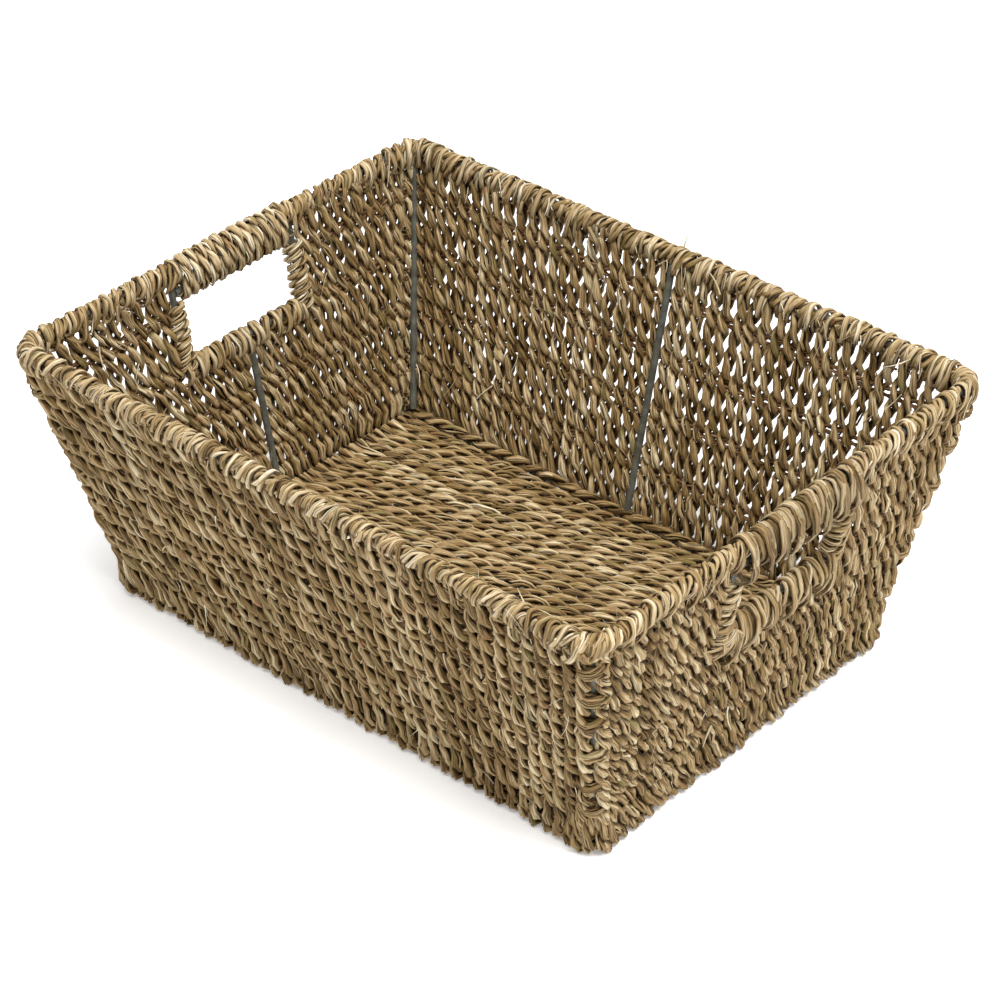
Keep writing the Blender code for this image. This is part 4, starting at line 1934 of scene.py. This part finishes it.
@dataclass
class WeftRows:
    """The thin brown cords that run through every column, two strands to a row."""

    walls: list[WovenWall]
    plan: BasketPlan
    spacing: float = 0.0034
    wave: float = 0.0007
    half_lay: float = 0.0050

    def strand(self, names: Sequence[str], row: int, shift: float, halves: bool) -> Line:
        """One length of weft cord.

        Args:
            names: The walls that it runs through, in order.
            row: The row, from the rim.
            shift: Its distance below the row's middle.
            halves: Whether it stops at the hand holes, on its first and last walls.

        Returns:
            The line.
        """
        by_name = {wall.name: wall for wall in self.walls}
        points = []
        aways = []
        for order, name in enumerate(names):
            wall = by_name[name]
            depth = wall.rows[row]
            half = wall.plane.half(depth) - COLUMN_END
            steps = round(2 * half / LINE_STEP)
            for i in range(steps + 1):
                x = -half + 2 * half * i / steps
                stop = wall.hole.post_offset if wall.hole else 0.0
                if halves and order == 0 and x < stop:
                    continue
                if halves and order == len(names) - 1 and x > -stop:
                    continue
                spot = Vector((x, depth, shift * 1000)) * 50
                drop = depth + shift + jitter(spot, self.wave, 700 + row)
                points.append(wall.plane.at(x, drop, jitter(spot, self.wave, 800)))
                aways.append(wall.plane.away)
        if not halves:
            points.append(points[0].copy())
            aways.append(aways[0])
        line = Line(tone=0.5 + 20 * shift)
        travelled = 0.0
        for index, point in enumerate(points):
            if index:
                travelled += (point - points[index - 1]).length
            line.add(point, aways[index], -math.pi * travelled / self.half_lay)
        return line

    def build(self, tree: CordTree, material: bpy.types.Material) -> None:
        """Make each row's strands, the lowest row first."""
        sizes = {
            "Step": 0.0026,
            "Ply offset": 0.0006,
            "Bundle depth": 0.0004,
            "Bundle width": 0.0006,
            "Blade thickness": 0.00036,
            "Blade width": 0.00062,
            "Wobble": 0.0003,
        }
        rounds = (("", ("front", "right", "back", "left")),)
        halves = (("_front", ("left", "front", "right")), ("_back", ("right", "back", "left")))
        count = len(self.walls[0].rows)
        for number in range(1, count + 1):
            parts = rounds if self.plan.weft_goes_round(number) else halves
            for end, names in parts:
                shifts = (-self.spacing / 2, self.spacing / 2)
                lines = [self.strand(names, count - number, shift, bool(end)) for shift in shifts]
                name = f"weft_row_{number}{end}"
                mesh = lines_to_mesh(name, lines)
                piece = grow(name, mesh, tree.tree, sizes, material, SEED + number)
                place_piece(piece, [f"weft_cord_{number}{end}"])


# Loose ends


@dataclass
class StrayBlades:
    """The thin ends and split fibres that stand out of the work all over."""

    plan: BasketPlan
    rim_count: int = 190
    wall_count: int = 170
    inner_count: int = 110
    length: float = 0.011
    stand_off: float = 0.0036

    def stray(self, start: Vector, heading: Vector, away: Vector, rng: random.Random) -> Line:
        """One loose end, which bends as it goes and thins to its tip.

        Args:
            start: Where it leaves the work.
            heading: The direction it mostly runs in.
            away: The direction out of the surface.
            rng: Where its chances come from.

        Returns:
            Its line.
        """
        line = Line(tone=rng.uniform(0.45, 0.95))
        length = self.length * rng.uniform(0.5, 1.6)
        curl = Vector([rng.uniform(-1, 1) for _ in range(3)]) * 0.5
        lift = rng.uniform(0.05, 0.55)
        point = start - heading * length * 0.3
        girth = rng.uniform(0.5, 2.1) if rng.random() < 0.3 else rng.uniform(0.3, 0.8)
        for step in range(5):
            line.add(point, away, 0.0, girth * (1 - 0.19 * step))
            way = (heading + away * lift * (0.3 + 0.25 * step) + curl * step * 0.25).normalized()
            point = point + way * length / 4
        return line

    def build(self, tree: StrandTree, material: bpy.types.Material) -> None:
        """Scatter the loose ends over the rim and both faces of the walls."""
        rng = random.Random(SEED + 77)
        lines = []
        for count, spots in (
            (self.rim_count, "rim"),
            (self.wall_count, "outside"),
            (self.inner_count, "inside"),
        ):
            for _ in range(count):
                name = rng.choice(("front", "front", "back", "back", "left", "right"))
                wall = self.plan.walls[name]
                hole = self.plan.holes.get(name)
                side = -1 if spots == "inside" or (spots == "rim" and rng.random() < 0.5) else 1
                depth = rng.uniform(-0.001, 0.006) if spots == "rim" else rng.uniform(0.01, 0.155)
                x = rng.uniform(-1, 1) * (wall.half(depth) - 0.006)
                if hole and spots != "rim" and abs(x) < hole.post_offset + 0.006:
                    depth = rng.uniform(hole.sill_depth + 0.012, 0.155)
                reach = self.stand_off + (0.0014 if spots == "rim" else -0.0004)
                start = wall.at(x, depth, side * reach)
                turn = rng.uniform(-0.9, 0.9)
                along = (wall.matrix.to_3x3() @ Vector((1, 0, 0))).normalized()
                heading = (wall.up * -math.cos(turn) + along * math.sin(turn)).normalized()
                if rng.random() < 0.35:
                    heading = -heading
                lines.append(self.stray(start, heading, wall.away * side, rng))
        piece = grow("stray_blades", lines_to_mesh("stray_blades", lines), tree.tree, {}, material, SEED)
        place_piece(piece)

    def build_fan(self, tree: StrandTree, material: bpy.types.Material, count: int = 15) -> None:
        """Splay the sill binding's ends over the lower front corner of the right hand hole.

        Args:
            tree: The tree that skins the blades.
            material: Their finish.
            count: How many there are.
        """
        rng = random.Random(SEED + 91)
        wall = self.plan.walls["right"]
        hole = self.plan.holes["right"]
        lines = []
        for number in range(count):
            angle = math.radians(35 + 115 * number / (count - 1) + rng.uniform(-4, 4))
            length = rng.uniform(0.014, 0.020)
            line = Line(tone=rng.uniform(0.40, 0.72))
            for step in range(6):
                share = step / 5
                bend = angle - 0.5 * share
                x = -hole.post_offset + 0.006 - length * share * math.cos(bend)
                depth = hole.sill_depth - 0.004 + length * share * math.sin(bend)
                out = 0.0052 + 0.0022 * math.sin(math.pi * share) - 0.0022 * share
                line.add(wall.at(x, depth, out), wall.away, 0.0, 1.15 - 0.75 * share * share)
            lines.append(line)
        sizes = {"Width": 0.0012, "Thickness": 0.0006}
        mesh = lines_to_mesh("right_sill_fan", lines)
        piece = grow("right_sill_fan", mesh, tree.tree, sizes, material, SEED)
        place_piece(piece)


# The studio


@dataclass(frozen=True)
class Lamp:
    """A soft round lamp that points at the basket."""

    name: str
    place: tuple[float, float, float]
    size: float
    power: float

    def hang(self) -> None:
        """Hang the lamp."""
        light = bpy.data.lights.new(self.name, "AREA")
        light.shape = "DISK"
        light.size = self.size
        light.energy = self.power
        lamp = bpy.data.objects.new(self.name, light)
        lamp.location = self.place
        lamp.rotation_euler = (-Vector(self.place)).to_track_quat("-Z", "Y").to_euler()
        bpy.context.scene.collection.objects.link(lamp)


@dataclass
class Studio:
    """A white floor, soft light from above, and the camera."""

    lamps: tuple[Lamp, ...] = (
        Lamp("overhead_light", (0.3, -0.2, 2.4), 2.5, 71.0),
        Lamp("side_light", (1.6, -0.3, 2.6), 1.5, 48.0),
    )
    surround: float = 0.44
    floor_reach: float = 6.0
    floor_gap: float = 0.0005
    floor_glow: float = 0.22
    azimuth: float = 41.99
    elevation: float = 34.48
    distance: float = 1.58
    lens: float = 107.73
    roll: float = -0.45
    aim_shift: Vector = field(default_factory=lambda: Vector((0.0, 0.005, -0.010)))

    def build(self) -> None:
        """Make the floor, the lights, the world and the camera."""
        self.build_floor()
        for lamp in self.lamps:
            lamp.hang()
        self.build_world()
        self.build_camera()
        bpy.context.scene.view_settings.view_transform = "Standard"

    def build_floor(self) -> None:
        """Lay a wide white floor under the basket."""
        mesh = bpy.data.meshes.new("floor")
        height = CAD_BOX[0].z - self.floor_gap
        signs = ((-1, -1), (1, -1), (1, 1), (-1, 1))
        corners = [(x * self.floor_reach, y * self.floor_reach, height) for x, y in signs]
        mesh.from_pydata(corners, [], [(0, 1, 2, 3)])
        material = bpy.data.materials.new("white_floor_paper")
        material.use_nodes = True
        tree = material.node_tree
        shader = tree.nodes["Principled BSDF"]
        shader.inputs["Base Color"].default_value = linear_colour("#fafafa")
        shader.inputs["Roughness"].default_value = 0.9
        shader.inputs["Emission Color"].default_value = (1, 1, 1, 1)
        shader.inputs["Emission Strength"].default_value = self.floor_glow
        mesh.materials.append(material)
        floor = bpy.data.objects.new("floor", mesh)
        bpy.context.scene.collection.objects.link(floor)

    def build_world(self) -> None:
        """Give an even white surround."""
        world = bpy.data.worlds.new("white_studio")
        world.use_nodes = True
        background = world.node_tree.nodes["Background"]
        background.inputs["Color"].default_value = (1, 1, 1, 1)
        background.inputs["Strength"].default_value = self.surround
        bpy.context.scene.world = world

    def build_camera(self) -> None:
        """Set the camera."""
        low, high = CAD_BOX
        aim = (low + high) / 2 + self.aim_shift
        side = math.radians(self.azimuth)
        rise = math.radians(self.elevation)
        away = Vector(
            (math.sin(side) * math.cos(rise), -math.cos(side) * math.cos(rise), math.sin(rise))
        )
        data = bpy.data.cameras.new("camera")
        data.lens = self.lens
        data.sensor_width = 36.0
        data.clip_start = 0.01
        camera = bpy.data.objects.new("camera", data)
        camera.location = aim + away * self.distance
        look = (-away).to_track_quat("-Z", "Y").to_matrix().to_4x4()
        roll = Matrix.Rotation(math.radians(self.roll), 4, "Z")
        camera.rotation_euler = (look @ roll).to_euler()
        bpy.context.scene.collection.objects.link(camera)
        bpy.context.scene.camera = camera


def main() -> None:
    """Build the basket's looks, piece by piece, and the studio round it."""
    logging.basicConfig(level=logging.INFO, format="%(name)s: %(message)s")
    plan = BasketPlan.read()
    Studio().build()
    cord = CordTree()
    winding = WindingTree()
    woven = SeagrassFinish(
        "twisted_seagrass_cord", dark="#46310f", middle="#7e643a", light="#ac9268", pale="#d9cba8"
    ).build()
    # The binding's finish is paler than the cords'. This is partly the wound blades' own colour, and partly
    # painted light from above on the rim that it mostly covers
    binding_paler_with_painted_light = SeagrassFinish(
        "wound_seagrass_blade", dark="#574019", middle="#977b4e", light="#c5ae85", pale="#ede3c9"
    ).build()
    thin = SeagrassFinish(
        "brown_weft_cord", dark="#321d0c", middle="#593c22", light="#7b5b3c", pale="#9e8160"
    ).build()
    paint = WirePaint().build()
    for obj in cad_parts.values():
        obj.data.materials.clear()
        obj.data.materials.append(paint)

    walls = []
    for name, plane in plan.walls.items():
        hole = plan.holes.get(name)
        count = LONG_WALL_COLUMNS if hole is None else SHORT_WALL_COLUMNS
        wall = WovenWall(plane, hole, count, plan.weft_depths(plane))
        wall.build(cord, woven)
        walls.append(wall)
    WovenBase(plan).build(cord, woven)
    windings = Windings(plan, winding, binding_paler_with_painted_light)
    windings.build_rim()
    windings.build_hand_holes()
    wound = WoundCords(plan, cord, binding_paler_with_painted_light)
    wound.build_grip("left")
    wound.build_posts()
    WoundCords(plan, cord, woven).build_corners()
    WeftRows(walls, plan).build(cord, thin)
    strand = StrandTree()
    strays = StrayBlades(plan)
    strays.build(strand, binding_paler_with_painted_light)
    strays.build_fan(strand, binding_paler_with_painted_light)


if __name__ == "__main__":
    main()
